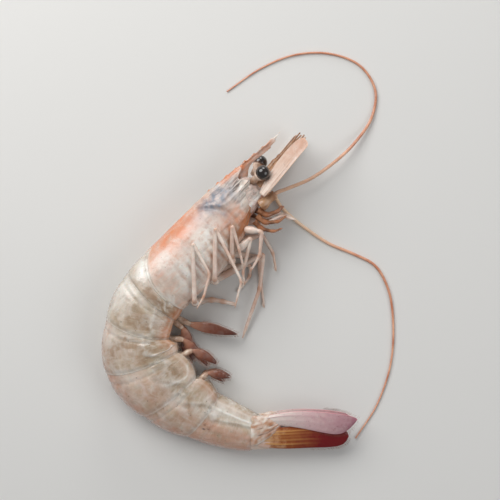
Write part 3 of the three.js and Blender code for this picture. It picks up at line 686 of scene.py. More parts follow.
def ring_plate(index, draw):
    """One plate of the abdomen: its front tucks under the plate before it, and its back edge is a thin lip.
    Returns the roots of the short hairs along both lower edges of the first five."""
    ring = RINGS[index]
    skin = Skin(SHELL_MARKS)
    rows = [("front", d, 0.0) for d in FRONT_WALL]
    rows += [("plate", k / PLATE_STEPS, 0.0) for k in range(PLATE_STEPS)]
    rows += [("rear", d, sink) for d, sink in LIP]
    before = (RING_BULGE, RINGS[index - 1]["lean"]) if index else (CARAPACE["bulge"], CARAPACE["lean"])
    past = OVERLAP if index < 5 else -GAP / 2
    for kind, where, sink in rows:
        for k in range(ROUND):
            angle = angle_of(k, ROUND)
            front = JOINTS[index] + edge(angle, *before) + GAP / 2
            rear = JOINTS[index + 1] + edge(angle, RING_BULGE, ring["lean"]) + past
            along = {"front": front + where, "plate": lerp(front, rear, where), "rear": rear + where}[kind]
            share = (along - front) / (rear - front)
            size = 1 - TUCK * max(1 - share, 0) ** 1.5
            half = value_at(WIDTHS, along) / 2 * size
            deep = value_at(DEPTHS, along) / 2 * size
            drop = deep * (1 + ring["lobe"] * arc(clamp(share), 0.7))
            rest = Vector((along, half * math.sin(angle), deep * math.cos(angle)))
            high = ring_relief(index, share, angle, rest) - sink
            grown = [reach * (1 + high / reach) for reach in (deep, drop)]
            across, over = section(angle, half * (1 + high / half), *grown, ring["belly"])
            clear = TUCKED["floor"] * fade(along - front, TUCKED["from"], TUCKED["over"])
            skin.add(body_point(along, across, over), floor=max(sink, clear), rest=rest,
                     **ring_tints(index, share, angle))
    skin.close(ROUND)
    skin.piece(f"ring_plate_{index + 1}", BODY_SHELL, "body_shell", f"abdomen_{index + 1}")
    roots = []
    for k, above in ((EDGE_AT, EDGE_AT - ABOVE_EDGE), (ROUND - EDGE_AT, ROUND - EDGE_AT + ABOVE_EDGE)):
        margin = []
        for row in range(len(FRONT_WALL) + 4, len(FRONT_WALL) + PLATE_STEPS - 1):
            at = skin.points[row * ROUND + k]
            margin.append((at, (at - skin.points[row * ROUND + above]).normalized()))
        roots += along_margin(margin, 0.0, 1.0, 0.3, draw)
    return roots if index < 5 else []


def inner_meat():
    """The skin and meat that show between the plates and in the hollow of the belly."""
    skin = Skin(("rest",))
    count = 64
    for t, angle in rounds(150, count):
        along = lerp(-1.5, JOINTS[-1] - 0.8, t)
        half = value_at(WIDTHS, along) / 2 * 0.93
        deep = value_at(DEPTHS, along) / 2 * 0.92
        across, over = section(angle, half, deep, deep, 0.8 if along < JOINTS[5] else 0.9)
        skin.add(body_point(along, across, over), floor=MEAT_FLOOR, rest=Vector((along, across, over)))
    skin.close(count)
    skin.piece("joint_skin", MEAT, "body_shell")


# ------------------------------------------------------------------ head shell
# Patches of tint on the head's shell, one of them painted light: strength, then middle and spread in
# millimetres forward of its back edge, and as an angle round it.
HEAD_PATCHES = [
    ("chalk", 0.6, (3, 4), (0.95, 0.4)),
    ("chalk", 0.7, (18, 7), (1.15, 0.35)),
    ("chalk", 0.45, (11, 6), (1.3, 0.35)),
    ("chalk", 0.45, (35, 4), (1.1, 0.4)),
    # Painted light: the next patch lightens the low rear flank, which faces away from the key light.
    ("chalk", 0.5, (4, 6), (1.9, 0.4)),
    ("chalk", 0.3, (1.5, 1.0), (2.1, 0.4)),
    ("orange", 0.5, (25, 5), (1.3, 0.3)),
]
FACE_FOLDS = ((0.5, 0.16), (0.78, 0.2), (1.18, 0.22), (1.36, 0.14), (1.75, 0.2))  # angle and height of each
HEAD_STEPS, HEAD_ROUND = 120, 176


def carapace_front(angle):
    """How far forward the front edge reaches: hollowed for the eyes, with a spine under each."""
    side = abs(angle)
    reach = CARAPACE["length"] - CARAPACE["front_lean"] * (1 - math.cos(angle))
    for stands_out, at, spread in ((-2.4, 0.62, 0.2), (1.0, 1.02, 0.08), (-0.8, 1.25, 0.14)):
        reach += stands_out * hump(side, at, spread)
    return reach


def gill_window(forward, side):
    """1 over the gills, which lie low on the side of the head's rear half."""
    return rise(forward, 1, 3) * fade(forward, 20, 4) * hump(side, 1.7, 0.42)


def gill_fold(forward, side):
    """From -1 to 1 across the upright folds in which the gills lie."""
    return math.sin(forward * 2.4 + 1.6 * side + 1.4 * math.sin(forward * 0.7))


def carapace_tints(forward, angle, share):
    """Tints of the head shell: orange on the back, blue-grey behind the eyes, brown below."""
    side = abs(angle)
    uneven = side + 0.12 * math.sin(forward * 0.9) + 0.08 * math.sin(forward * 2.1)
    gills = gill_window(forward, side)
    streak = 0.5 - 0.5 * gill_fold(forward, side)
    orange = 0.85 * hump(forward, 11, 11) * fade(uneven, 0.28, 0.85)
    orange += 0.65 * rise(forward, 20, 9) * rise(uneven, 1.35, 0.4)
    orange *= 0.8 + 0.2 * math.sin(13 * side + 0.5 * forward)
    orange += 0.9 * rise(forward, 30, 5) * fade(side, 0.1, 0.3) + 0.25 * streak ** 2 * gills
    tints = {
        "chalk": 0.6 * (1 - streak) * gills,
        "brown": 0.95 * rise(side, 1.35, 0.45) * rise(forward, 15, 11) + 0.6 * streak ** 3 * gills,
        "rose": 0.75 * hump(forward, 10, 14) * fade(side, 0.8, 0.7),
        "orange": orange,
        "slate": 1.2 * hump(forward, 28, 8) * hump(uneven, 0.62, 0.45),
        "dark": 0.95 * rise(forward, 29, 6) * hump(side, 0.95, 0.55),
        "rim": hump(share, 0.0, 0.016) + 0.6 * hump(share, 1.0, 0.016),
    }
    for tint, strength, along_it, round_it in HEAD_PATCHES:
        tints[tint] += strength * hump(forward, *along_it) * hump(side, *round_it)
    return {tint: clamp(strength) for tint, strength in tints.items()}


def carapace_relief(forward, angle, rest):
    """How far the head's shell stands out, in millimetres."""
    side = abs(angle)
    # The neck groove runs down and forward from the back, with a swelling before it.
    neck = 20 + 7.5 * smooth(side / 1.3)
    high = -0.42 * hump(forward, neck, 0.8) * rise(side, 0.12, 0.2) * fade(side, 1.35, 0.25)
    high += 0.2 * hump(forward, neck + 1.8, 1.2) * fade(side, 1.3, 0.3)
    # A groove runs along the side, a ridge behind the eye, and a spine stands where it meets the neck.
    high -= 0.25 * hump(side, 1.5, 0.05) * rise(forward, 9, 3) * fade(forward, 30, 3)
    high += 0.3 * hump(side, 1.0, 0.06) * rise(forward, 29, 3)
    high += 0.5 * hump(side, 0.95, 0.06) * hump(forward, neck + 2.2, 0.9)
    # The snout's keel has a groove on each side, and the shell's lower edge a rim.
    high -= 0.3 * hump(side, 0.17, 0.05) * rise(forward, 18, 4)
    high += 0.35 * hump(side, 0.0, 0.07) * rise(forward, 12, 8)
    high += 0.25 * hump(side, 2.3, 0.1)
    # Long folds run forward to the eye hollow and the feelers, and upright ones over the gills.
    for fold, tall in FACE_FOLDS:
        high += rise(forward, 27, 6) * tall * hump(side + 0.02 * math.sin(forward), fold, 0.045)
    high += 0.09 * gill_fold(forward, side) * gill_window(forward, side)
    wrinkle = cloud_at(Vector((rest.x * 0.5, rest.y, rest.z)), 2.6)
    return high + 0.16 * cloud_at(rest, 6) + 0.07 * wrinkle + 0.04 * cloud_at(rest, 1.5)


def carapace_skin():
    skin = Skin(SHELL_MARKS)
    rows = [("back", -d, sink) for d, sink in reversed(LIP)]
    rows += [("shell", k / HEAD_STEPS, 0.0) for k in range(1, HEAD_STEPS)]
    rows += [("front", d, sink) for d, sink in LIP[:-1] + [(-1.2, 0.42), (-2.6, 0.6)]]
    for kind, where, sink in rows:
        for k in range(HEAD_ROUND):
            angle = angle_of(k, HEAD_ROUND)
            back_edge = -OVERLAP - edge(angle, CARAPACE["bulge"], CARAPACE["lean"])
            front_edge = carapace_front(angle)
            forward = {"back": back_edge + where, "shell": lerp(back_edge, front_edge, where),
                       "front": front_edge + where}[kind]
            share = (forward - back_edge) / (front_edge - back_edge)
            closing = 1 - 0.3 * clamp((share - 0.88) / 0.12)
            rest = Vector((-forward, 8.5 * math.sin(angle), 11 * math.cos(angle)))
            high = carapace_relief(forward, angle, rest) - sink
            half, back, deep = (value_at(table, max(forward, 0))
                                for table in (CARAPACE_WIDTH, CARAPACE_BACK, CARAPACE_BELLY))
            across, over = section(angle, half / 2 * closing + high, back + high, deep * closing + high, 0.9)
            skin.add(body_point(-forward, across, over), floor=sink, rest=rest,
                     **carapace_tints(forward, angle, share))
    skin.close(HEAD_ROUND)
    return skin


# The snout's cross-section, as [share of its height, of its half width], and how deep it is at each
# place forward of the shell's back edge.
SNOUT_SECTION = [(0, 0.05), (0.12, 0.5), (0.32, 0.8), (0.5, 1.0), (0.62, 0.8), (0.82, 0.55), (1, 0.06)]
SNOUT_DEPTH = [
    [ROSTRUM["start"], ROSTRUM["under"]], [ROSTRUM["start"] + 6, ROSTRUM["root"]],
    [CARAPACE["length"] - 2, ROSTRUM["root"]], [lerp(CARAPACE["length"], ROSTRUM["tip"], 0.12), 2.3],
    [lerp(CARAPACE["length"], ROSTRUM["tip"], 0.3), 1.7],
    [lerp(CARAPACE["length"], ROSTRUM["tip"], 0.55), ROSTRUM["under"]], [ROSTRUM["tip"], 0.12],
]
LOWER_TEETH = {"start": 49.5, "end": 54.5, "each": 2.5, "tall": 0.45}


def rostrum_skin():
    """The toothed blade: thick at its root, sharp along its top, with a ridge down each side."""
    skin = Skin(SHELL_MARKS)
    start, tip = ROSTRUM["start"], ROSTRUM["tip"]
    outline = [(1, h, w) for h, w in SNOUT_SECTION] + [(-1, h, w) for h, w in reversed(SNOUT_SECTION)]
    for s in range(201):
        far = s / 200
        x = lerp(start, tip, far)
        ridge = lerp(CARAPACE_BACK[2][1], ROSTRUM["tip_height"], smooth(far))
        top, low = ridge, ridge - value_at(SNOUT_DEPTH, x)
        toothed = (x - start) / (tip - ROSTRUM["smooth_tip"] - start)
        if toothed < 1:
            part = toothed * ROSTRUM["teeth"] % 1
            climb = (part / 0.85) ** 1.6 if part < 0.85 else (1 - part) / 0.15
            top += ROSTRUM["tooth"] * (1 - 0.5 * toothed) * climb
        if LOWER_TEETH["start"] < x < LOWER_TEETH["end"]:
            low -= LOWER_TEETH["tall"] * ((x - LOWER_TEETH["start"]) / LOWER_TEETH["each"] % 1)
        slim = ROSTRUM["half"] * (1 - 0.75 * far)
        for side, h, w in outline:
            right, back = side * w * slim, lerp(low, top, h)
            share = smooth((back - low) / max(top - low, 0.1))
            streak = 0.5 + 0.5 * math.sin(3.2 * (back - low) + 0.4 * x)
            skin.add(head_point(x, right, back), rest=Vector((-x, right, back)), rim=0.25 * (1 - share),
                     chalk=clamp(0.7 * rise(far, 0.84, 0.1) + 0.55 * streak * (1 - share) * (1 - far)),
                     brown=rise(far, 0.3, 0.25) * share,
                     dark=0.7 * rise(far, 0.35, 0.2) * share * fade(far, 0.8, 0.1),
                     rose=0.6 * rise(far, 0.5, 0.2), orange=(0.35 + 0.6 * share) * fade(far, 0.45, 0.3))
    skin.close(len(outline))
    return skin


def head_shell():
    skin = carapace_skin()
    skin.join(rostrum_skin())
    skin.piece("head_shell", HEAD_SHELL, "head_shell", "carapace")


def face_block():
    """The mottled front of the head inside the shell's opening, from which eyes and feelers come."""
    skin = Skin(SHELL_MARKS)
    count = 72
    for t, angle in rounds(40, count):
        forward = lerp(30, 43.2, t)
        taper = math.sqrt(max(1 - rise(t, 0.35, 0.65) ** 2, 0.0)) * 0.92 + 0.05
        half = value_at(CARAPACE_WIDTH, forward) / 2 * 0.86 * taper
        back = value_at(CARAPACE_BACK, forward) * 0.8 * taper
        deep = (value_at(CARAPACE_BELLY, forward) * 0.8 + 2.0 * t) * taper
        across, over = section(angle, half, back, deep, 1.0)
        rest = Vector((-forward, across, over))
        lump = 1 + 0.09 * cloud_at(rest, 2.2) + 0.05 * cloud_at(rest, 0.8)
        fold = hump(abs(angle), 1.62, 0.14)
        skin.add(head_point(forward, across * lump, over * lump), rest=rest, dark=0.45, slate=0.25, rose=0.4,
                 chalk=clamp(0.3 + 0.4 * cloud_at(rest, 2.5) + 0.6 * fold),
                 orange=0.9 * rise(abs(angle), 1.6, 0.35), brown=0.25 + 0.7 * rise(abs(angle), 1.75, 0.35),
                 rim=0.8 * hump(abs(angle), 1.62, 0.1))
    skin.close(count)
    skin.piece("face_block", HEAD_SHELL, "head_shell")


# ------------------------------------------------------------------ eyes
# The stalk from the ball back, as [height along its axis, radius] in radii of the ball.
EYE_STALK = [(-0.5, 0.55), (-0.62, 0.76), (-0.76, 0.8), (-0.95, 0.72), (-1.15, 0.55), (-1.35, 0.5),
             (-1.55, 0.53)]
CORNEA_EDGE = [(-0.74, 0.6), (-0.72, 0.3)]
EYE_ROUND = 40


def eye(label, side):
    """A black cornea on a pale jointed stalk that comes out of the shell's eye hollow."""
    forward, r = EYE[label], EYE["radius"]
    centre = head_point(forward, side * EYE["side"], EYE["height"])
    root = head_point(forward - 4.2, side * (EYE["side"] - 2.6), EYE["height"] - 0.6)
    axis = (centre - root).normalized()
    across = axis.orthogonal().normalized()
    third = axis.cross(across)
    dome = [(math.cos(math.pi * k / 30), math.sin(math.pi * k / 30)) for k in range(1, 24)]
    stalk = EYE_STALK + [((root - centre).length * -1.05 / r, 0.5)]
    for name, profile, finish, slot, nodes in (
        ("cornea", dome + CORNEA_EDGE, CORNEA, "eye", [f"eye_{label}"]),
        ("stalk", stalk, STALK_SKIN, "leg", []),
    ):
        skin = Skin(("root",))
        for h, w in profile:
            for k in range(EYE_ROUND):
                a = 2 * math.pi * k / EYE_ROUND
                point = centre + axis * (h * r) + (across * math.cos(a) + third * math.sin(a)) * (w * r)
                skin.add(point, root=rise(-h, 0.35, 0.3))
        skin.close(EYE_ROUND)
        skin.piece(f"eye_{name}_{label}", finish, slot, *nodes)


# ------------------------------------------------------------------ blades and leaves
def leaf(name, centres, turn, left, right, thick, ribs, finish, slot, nodes, camber=0.0, count=44,
         ribs_end=0.95):
    """A thin blade along a line of centres. left and right give its half widths, and ribs are [place across,
    height] of its long veins, which end at ribs_end of its length. Returns its margins for a fringe."""
    skin = Skin(("outward", "vein", "rim"))
    margins = {-1: [], 1: []}
    last = len(centres) - 1
    for i, at in enumerate(centres):
        t = i / last
        way = (centres[min(i + 1, last)] - centres[max(i - 1, 0)]).normalized()
        wide = Matrix.Rotation(math.radians(turn), 3, way) @ way.cross(UP).normalized()
        over = wide.cross(way)
        full = lerp(thick, BLADE_TIP, t)
        half = {1: value_at(right, t), -1: value_at(left, t)}
        for sign in (1, -1):
            margins[sign].append((at + wide * sign * half[sign], (wide * sign + way * 1.1).normalized()))
        for k in range(count):
            a = 2 * math.pi * k / count
            place = math.cos(a)
            width = lerp(-half[-1], half[1], (place + 1) / 2)
            bulk = math.copysign(abs(math.sin(a)) ** 0.8, math.sin(a)) * full
            vein = max(hump(place, rib * (1 - 0.2 * t), 0.05) * height for rib, height in ribs)
            vein *= fade(t, ribs_end - 0.45, 0.45)
            lift = camber * (1 - place ** 2)
            if abs(bulk) > 0.02:
                lift += math.copysign(vein * 0.28, bulk)
            skin.add(at + wide * width + over * (bulk + lift),
                     floor=full + math.copysign(abs(bulk), bulk * over.z), outward=t, vein=clamp(vein),
                     rim=0.8 * clamp(rise(abs(place), 0.93, 0.07) + rise(t, 0.97, 0.03)))
    skin.close(count)
    skin.piece(name, finish, slot, *nodes)
    return margins


def fringe(name, roots, length, root, seed, finish, slot):
    """Bristles on (point, lean) roots. Near the ground they start above it and lean up from it."""
    places, leans = [], []
    for point, lean in roots:
        lowest = 0.02 - max(point.z - BRISTLE_FLOOR, 0.0) / length
        lean = Vector((lean.x, lean.y, max(lean.z, lowest))).normalized()
        start = Vector((point.x, point.y, max(point.z, BRISTLE_FLOOR)))
        places.append(((start - ORIGIN) + lean * length * 0.3) * MM)
        leans.append(lean)
    piece = new_piece(name, places, [], [], {"lean": leans})
    made_by(piece, FRINGE_TREE, {"Length": length * MM, "Root": root * MM, "Seed": seed, "Finish": finish})
    finish_piece(piece, slot)


def along_margin(margin, low, high, spacing, draw):
    """Bristle roots spaced along part of a margin, each a little off its neighbour."""
    first, last = (int(share * (len(margin) - 1)) for share in (low, high))
    roots = []
    for (a, lean_a), (b, lean_b) in zip(margin[first:last], margin[first + 1:last + 1]):
        each = max(int((b - a).length / spacing), 1)
        for k in range(each):
            t = (k + draw.random()) / each
            stray = Vector((draw.uniform(-1, 1), draw.uniform(-1, 1), draw.uniform(-0.4, 0.4))) * 0.12
            roots.append((a.lerp(b, t), (lean_a.lerp(lean_b, t) + stray).normalized()))
    return roots


# Outlines of blades: [share of the length, half width as a share of the blade's widest].
STRAIGHT = [[0, 0.3], [0.1, 0.55], [0.35, 0.85], [0.6, 0.95], [0.85, 0.98], [0.96, 0.9], [1, 0.74]]
OBLIQUE = [[0, 0.3], [0.15, 0.5], [0.4, 0.78], [0.65, 1.08], [0.8, 1.14], [0.88, 0.92], [0.94, 0.4],
           [0.98, -0.2], [1, -0.66]]
SLIM = [[0, 0.4], [0.3, 0.6], [0.62, 0.9], [0.84, 1.0], [0.94, 0.78], [0.985, 0.4], [1, 0.06]]
UNDER = [[0, 0.7], [0.3, 1.0], [0.62, 1.35], [0.84, 1.45], [0.94, 1.25], [0.985, 0.9], [1, 0.6]]
DEEP_ROOT = [[0, 1.2], [0.3, 1.4], [0.6, 1.15], [0.84, 0.85], [0.94, 0.5], [0.985, 0.0], [1, -0.5]]
SPIKE = [[0, 0.8], [0.15, 1], [0.5, 0.78], [0.85, 0.34], [1, 0.05]]
OUTER_RIBS = [[0.1, 0.5], [-0.55, 0.7]]  # [place across, height] of each vein
# The tail's blades: the bowed line of each (start, bend, end), half width, thickness, turn, outlines, veins.
TAIL_BLADES = {
    "telson": dict(
        path=[[1, 0, 2.2], [12, 0, 2.8], [26, 0, 3.6]], wide=2.6, thick=1.5, turn=90,
        left=SPIKE, right=SPIKE, ribs=[[-0.45, 1], [0.45, 1]], finish=AMBER_BLADE, camber=0.0),
    "uropod_outer_right": dict(
        path=[[2, 2.9, -4.2], [16, 4.9, -5.7], [32.4, 4.9, -2.6]], wide=3.3, thick=0.55, turn=8,
        left=STRAIGHT, right=OBLIQUE, ribs=OUTER_RIBS, finish=LILAC_BLADE),
    "uropod_inner_right": dict(
        path=[[-0.9, 2.5, 0.6], [15, 3, 0.6], [30, 3.2, 2.4]], wide=3, thick=0.45, turn=8,
        left=UNDER, right=DEEP_ROOT, ribs=[[-0.7, 0.8], [-0.4, 1], [-0.1, 0.7], [0.2, 1], [0.55, 0.9]],
        finish=RED_BLADE, ribs_end=0.68),
    "uropod_inner_left": dict(
        path=[[-0.9, -2.9, 0.6], [15, -3, 0.6], [30, -2.2, 2.2]], wide=3, thick=0.45, turn=-8,
        left=SLIM, right=SLIM, ribs=[[-0.6, 0.8], [-0.2, 1], [0.15, 0.7], [0.5, 1]], finish=AMBER_BLADE),
    "uropod_outer_left": dict(
        path=[[2, -4.2, -4], [16, -4.2, -5], [30.4, -3.3, -2.6]], wide=3.3, thick=0.45, turn=-8,
        left=STRAIGHT, right=OBLIQUE, ribs=OUTER_RIBS, finish=LILAC_BLADE),
}
SIDE_CAMBER = 0.25  # how far the middle of a blade at the side bows up
CROWDING = 1.3  # how much closer a tail blade's rows stand towards its round end


def tail_fan(draw):
    """The five blades, the fringe on the four at the sides, and the joints that carry them."""
    roots = []
    for node, blade in TAIL_BLADES.items():
        centres = []
        for i in range(71):
            t = 1 - (1 - i / 70) ** CROWDING
            start, bend, end = blade["path"]
            at = (lerp(lerp(a, b, t), lerp(b, c, t), t) for a, b, c in zip(start, bend, end))
            centres.append(tail_point(*at))
        left, right = ([[1 - (1 - x) ** (1 / CROWDING), w * blade["wide"]] for x, w in blade[hand]]
                       for hand in ("left", "right"))
        margins = leaf(f"blade_{node}", centres, blade["turn"], left, right, blade["thick"], blade["ribs"],
                       blade["finish"], "tail_fan", [node], blade.get("camber", SIDE_CAMBER),
                       ribs_end=blade.get("ribs_end", 0.95))
        if node != "telson":
            roots += along_margin(margins[-1], 0.6, 1.0, 0.17, draw)
            roots += along_margin(margins[1], 0.5, 1.0, 0.17, draw)
    fringe("tail_fringe", roots, 1.1, 0.04, 11, BRISTLE, "tail_fan")
    for label, side in SIDES:
        blade_root(label, side)
    tail_spine_root()


def blade_root(label, side):
    """The thick joint that carries the two blades of one side, pale, creased, and pointed at its end."""
    skin = Skin(SHELL_MARKS)
    count = 64
    for t, angle in rounds(44, count):
        out = lerp(-1.6, 8.4, t)
        close = math.sqrt(max(1 - (max(t - 0.55, 0) / 0.452) ** 2, 0.0))
        across, over = math.sin(angle), math.cos(angle)
        rest = Vector((out + 90, across * 3, over * 5 + side * 9))
        crease = hump(over, 0.32 + 0.2 * t, 0.06) + 0.7 * hump(over, -0.2 + 0.3 * t, 0.05)
        crease *= smooth(t * 3) * fade(t, 0.75, 0.2)
        lump = 1 + 0.07 * cloud_at(rest, 2.6) + 0.03 * cloud_at(rest, 0.9) - 0.07 * crease
        right = side * 2.8 + math.copysign(abs(across) ** 0.9, across) * lerp(1.9, 1.5, t) * close * lump
        back = lerp(-0.9, -3.6, smooth(t)) + over * lerp(4.9, 3.4, smooth(t)) * close * lump
        fold = math.sin(7 * over + 3 * t + 5 * cloud_at(rest, 3.4)) * clamp(0.5 + 1.5 * cloud_at(rest, 2))
        # The creases are painted darker: painted shade in their grooves.
        skin.add(tail_point(out, right, back), floor=ROOT_FLOOR, rest=rest, chalk=clamp(0.25 + 0.45 * fold),
                 brown=clamp(0.35 + 0.3 * t - 0.4 * fold), rose=0.2 * rise(t, 0.4, 0.5),
                 orange=0.3 + 0.3 * rise(over, -0.1, 0.8) * t, rim=0.5 * rise(t, 0.9, 0.1),
                 dark=clamp(0.9 * crease))
    skin.close(count)
    skin.piece(f"blade_root_{label}", BODY_SHELL, "tail_fan")


def tail_spine_root():
    """The back of the tail's middle spike, where it leaves the last plate."""
    skin = Skin(SHELL_MARKS)
    count = 48
    for t, angle in rounds(30, count):
        out = lerp(-1.6, 9, t)
        close = 0.35 + 0.65 * math.sqrt(max(1 - rise(t, 0.3, 0.7) ** 2, 0.0))
        across, over = math.sin(angle), math.cos(angle)
        rest = Vector((out + 120, across * 3, over * 5))
        lump = 1 + 0.06 * cloud_at(rest, 2.2)
        back = lerp(3.1, 2.6, t) + over * 2.5 * close * lump
        skin.add(tail_point(out, across * 3.1 * close * lump, back), floor=ROOT_FLOOR, rest=rest, chalk=0.2,
                 brown=0.6 * t, rose=0.4, orange=0.6 * t)
    skin.close(count)
    skin.piece("tail_spine_root", BODY_SHELL, "tail_fan")


SCALE_OUTER = [[0, 0.42], [0.12, 0.6], [0.5, 0.78], [0.84, 0.9], [0.93, 0.92], [0.955, 0.78],
               [0.985, 0.45], [1, 0]]
SCALE_INNER = [[0, 0.36], [0.12, 0.74], [0.35, 1.02], [0.6, 1.12], [0.8, 1.0], [0.92, 0.74],
               [0.98, 0.4], [1, 0.1]]
# Each scale: how far out its line starts and ends, how much lower it lies, half width and turn.
SCALES = {
    "right": {"out": (6.8, 5.2), "lower": 0, "wide": 3.3, "turn": -46},
    "left": {"out": (-5.9, -5), "lower": 0.5, "wide": 2.8, "turn": 80},
}


def antennal_scale(label, side, draw):
    """The stiff blade outside each short feeler: straight outer edge, curved and fringed inner edge."""
    scale = SCALES[label]
    centres = []
    for i in range(61):
        t = i / 60
        back = lerp(0.4, 3.4, t) - scale["lower"]
        centres.append(head_point(lerp(39, 61.4, t), lerp(*scale["out"], t), back))
    outer, inner = ([[x, w * scale["wide"]] for x, w in table] for table in (SCALE_OUTER, SCALE_INNER))
    left, right = (inner, outer) if side > 0 else (outer, inner)
    ribs = [[place * side, height] for place, height in ((0.82, 1), (0.5, 0.5), (0.1, 0.8), (-0.4, 0.5))]
    margins = leaf(f"scale_{label}", centres, scale["turn"], left, right, 0.5, ribs, SCALE_HORN,
                   "antennal_scale", [f"antennal_scale_{label}"], 0.3)
    return along_margin(margins[-side], 0.2, 1.0, 0.2, draw)


# ------------------------------------------------------------------ round limbs and feelers
def bent_path(joints, bend=1.2, step=0.4):
    """Points every step along straight stretches whose corners are rounded."""
    rough = [joints[0]]
    for before, corner, after in zip(joints, joints[1:], joints[2:]):
        enter, leave = (corner + (end - corner).normalized() * min(bend, (end - corner).length / 3)
                        for end in (before, after))
        for k in range(7):
            rough.append(enter.lerp(corner, k / 6).lerp(corner.lerp(leave, k / 6), k / 6))
    rough.append(joints[-1])
    path = [rough[0]]
    for a, b in zip(rough, rough[1:]):
        pieces = max(int((b - a).length / step), 1)
        path += [a.lerp(b, (k + 1) / pieces) for k in range(pieces)]
    return path


def spline_path(given, step=0.5):
    """Points along a smooth line through the given ones (centripetal)."""
    ends = [given[0] * 2 - given[1]] + given + [given[-1] * 2 - given[-2]]
    path = [given[0]]
    for i in range(1, len(ends) - 2):
        p = ends[i - 1:i + 3]
        knots = [0.0]
        for a, b in zip(p, p[1:]):
            knots.append(knots[-1] + max((b - a).length, 1e-6) ** 0.5)
        count = max(int((p[2] - p[1]).length / step), 2)
        for k in range(1, count + 1):
            t = lerp(knots[1], knots[2], k / count)
            # Pairs, then threes, then all four: each round blends neighbours by how far t lies between them.
            row = p
            for reach, spans in ((1, (0, 1, 2)), (2, (0, 1)), (1, (1,))):
                row = [a.lerp(b, (t - knots[at]) / (knots[at + reach] - knots[at]))
                       for at, a, b in zip(spans, row, row[1:])]
            path.append(row[0])
    return path


def limb(name, chains, finish, slot, nodes, sides=12, pitch=1.0, ringing=0.0):
    """A piece of round limbs. Each chain is (points, radii) in millimetres, and may add a stain a point."""
    points, edges, girths, stains = [], [], [], []
    for path, radii, *rest in chains:
        start = len(points)
        points += [(p - ORIGIN) * MM for p in path]
        girths += [r * MM for r in radii]
        stains += rest[0] if rest else [0.0] * len(path)
        edges += [(start + i, start + i + 1) for i in range(len(path) - 1)]
    piece = new_piece(name, points, edges, [], {"girth": girths, "stain": stains})
    made_by(piece, LIMB_TREE, {
        "Sides": sides, "Ring pitch": pitch * MM, "Ringing": ringing, "Finish": finish})
    finish_piece(piece, slot, *nodes)


def limb_joints(start, stretches):
    """From a start, each stretch is [length, direction, rise]."""
    joints = [start]
    for length, direction, up in stretches:
        flat = math.sqrt(max(length ** 2 - up ** 2, 0))
        way = math.radians(direction)
        joints.append(joints[-1] + Vector((flat * math.cos(way), flat * math.sin(way), up)))
    return joints


def jointed_radii(path, joints, root, tip, power=1.2):
    """Tapers from root to tip, pinched just past each joint and swollen at it, with a blunt point."""
    radii = []
    for i, p in enumerate(path):
        t = i / (len(path) - 1)
        near = min((p - j).length for j in joints[1:-1])
        swollen = 1 + 0.16 * hump(near, 0.0, 0.7) - 0.1 * hump(near, 1.5, 0.5)
        radii.append(lerp(root, tip, t ** power) * swollen * lerp(1, 0.25, max(t - 0.94, 0) / 0.06))
    return radii


def brush(path, radii, first, each, draw):
    """Roots of bristles that stand off a limb from a share of its length on, some at every point."""
    roots = []
    for i in range(int(first * len(path)), len(path) - 2):
        way = (path[i + 1] - path[i]).normalized()
        for _ in range(each):
            side = Vector((draw.uniform(-1, 1), draw.uniform(-1, 1), draw.uniform(-1, 1)))
            side = (side - way * side.dot(way)).normalized()
            roots.append((path[i] + side * radii[i] * 0.9, (side + way * 0.9).normalized()))
    return roots


def joint_stains(path, joints):
    """How stained a limb is at each point: most at its joints and its tip."""
    stains = []
    for i, p in enumerate(path):
        near = max(hump((p - j).length, 0.0, 0.9) for j in joints[1:])
        stains.append(clamp(0.55 * near + 0.25 * rise(i / (len(path) - 1), 0.8, 0.2)))
    return stains


LEG_GIRTH = (0.82, 0.33)  # radius at the root and the tip
STOUT_LEGS = {"leg_4_left": (0.9, 0.48), "leg_5_left": (1.0, 0.62)}
LEGS = {  # [forward, right, back] of the root, then [length, direction, rise] of each stretch
    "leg_1_right": ([28, 6.2, -4.6], [[5, -8, 1], [8, -95, -2], [6, -120, -1]]),
    "leg_2_right": ([22.5, 6.9, -7.4], [[4.8, 45, 0.5], [12.2, -103, -3], [4, -80, -1]]),
    "leg_3_right": ([17.5, 7.2, -8.7], [[2.4, 92, 1.6], [10.4, 89, 3.6], [8.3, -74, -2.3], [7, -77, -2.6]]),
    "leg_4_right": ([9.2, 7.4, -9.5], [[2.6, 95, 2.5], [16.9, 89, 4.3], [19, -64, -3], [9.2, -104, -2.6]]),
    "leg_5_right": ([-0.2, 7.6, -10],
                    [[2.6, 100, 2.5], [19.2, 91, 5.2], [11.3, -62, -1.8], [7.4, -105, -0.8],
                     [4.5, -120, -0.5]]),
    "leg_1_left": ([24.5, -3.6, -9.6], [[7, 15, 0.4], [7, -60, 0], [6, -80, -0.4]]),
    "leg_2_left": ([19.5, -3.8, -11.4], [[8, -5, 0], [9, -85, -0.4], [8, -82, -0.4]]),
    "leg_3_left": ([14, -2.8, -12.2], [[8.6, 8, -0.8], [3.8, -92, 0], [6.8, -128, -0.4]]),
    "leg_4_left": ([8.5, -2.4, -12.6], [[18.8, 29, 2.4], [11.5, -96, -1], [17.6, -109, -2.6]]),
    "leg_5_left": ([-0.6, -1.9, -13.2], [[5.4, 8, 0.6], [3.7, -9, 0], [4.6, -14, -0.3]]),
}
# How far a leg's root reaches back into the body, and the direction of those that don't go straight back.
ROOT_REACH = {"leg_1_left": 3.2, "leg_2_left": 3.4, "leg_3_left": 3.6, "leg_4_left": 3.6, "leg_5_left": 4.2}
ROOT_TURNED = {"leg_4_left": 170, "leg_5_left": 160}
MOUTH_LIMB = {"root": 1.0, "tip": 0.4, "reach": 2.4}  # radii, and how far it reaches back into the head


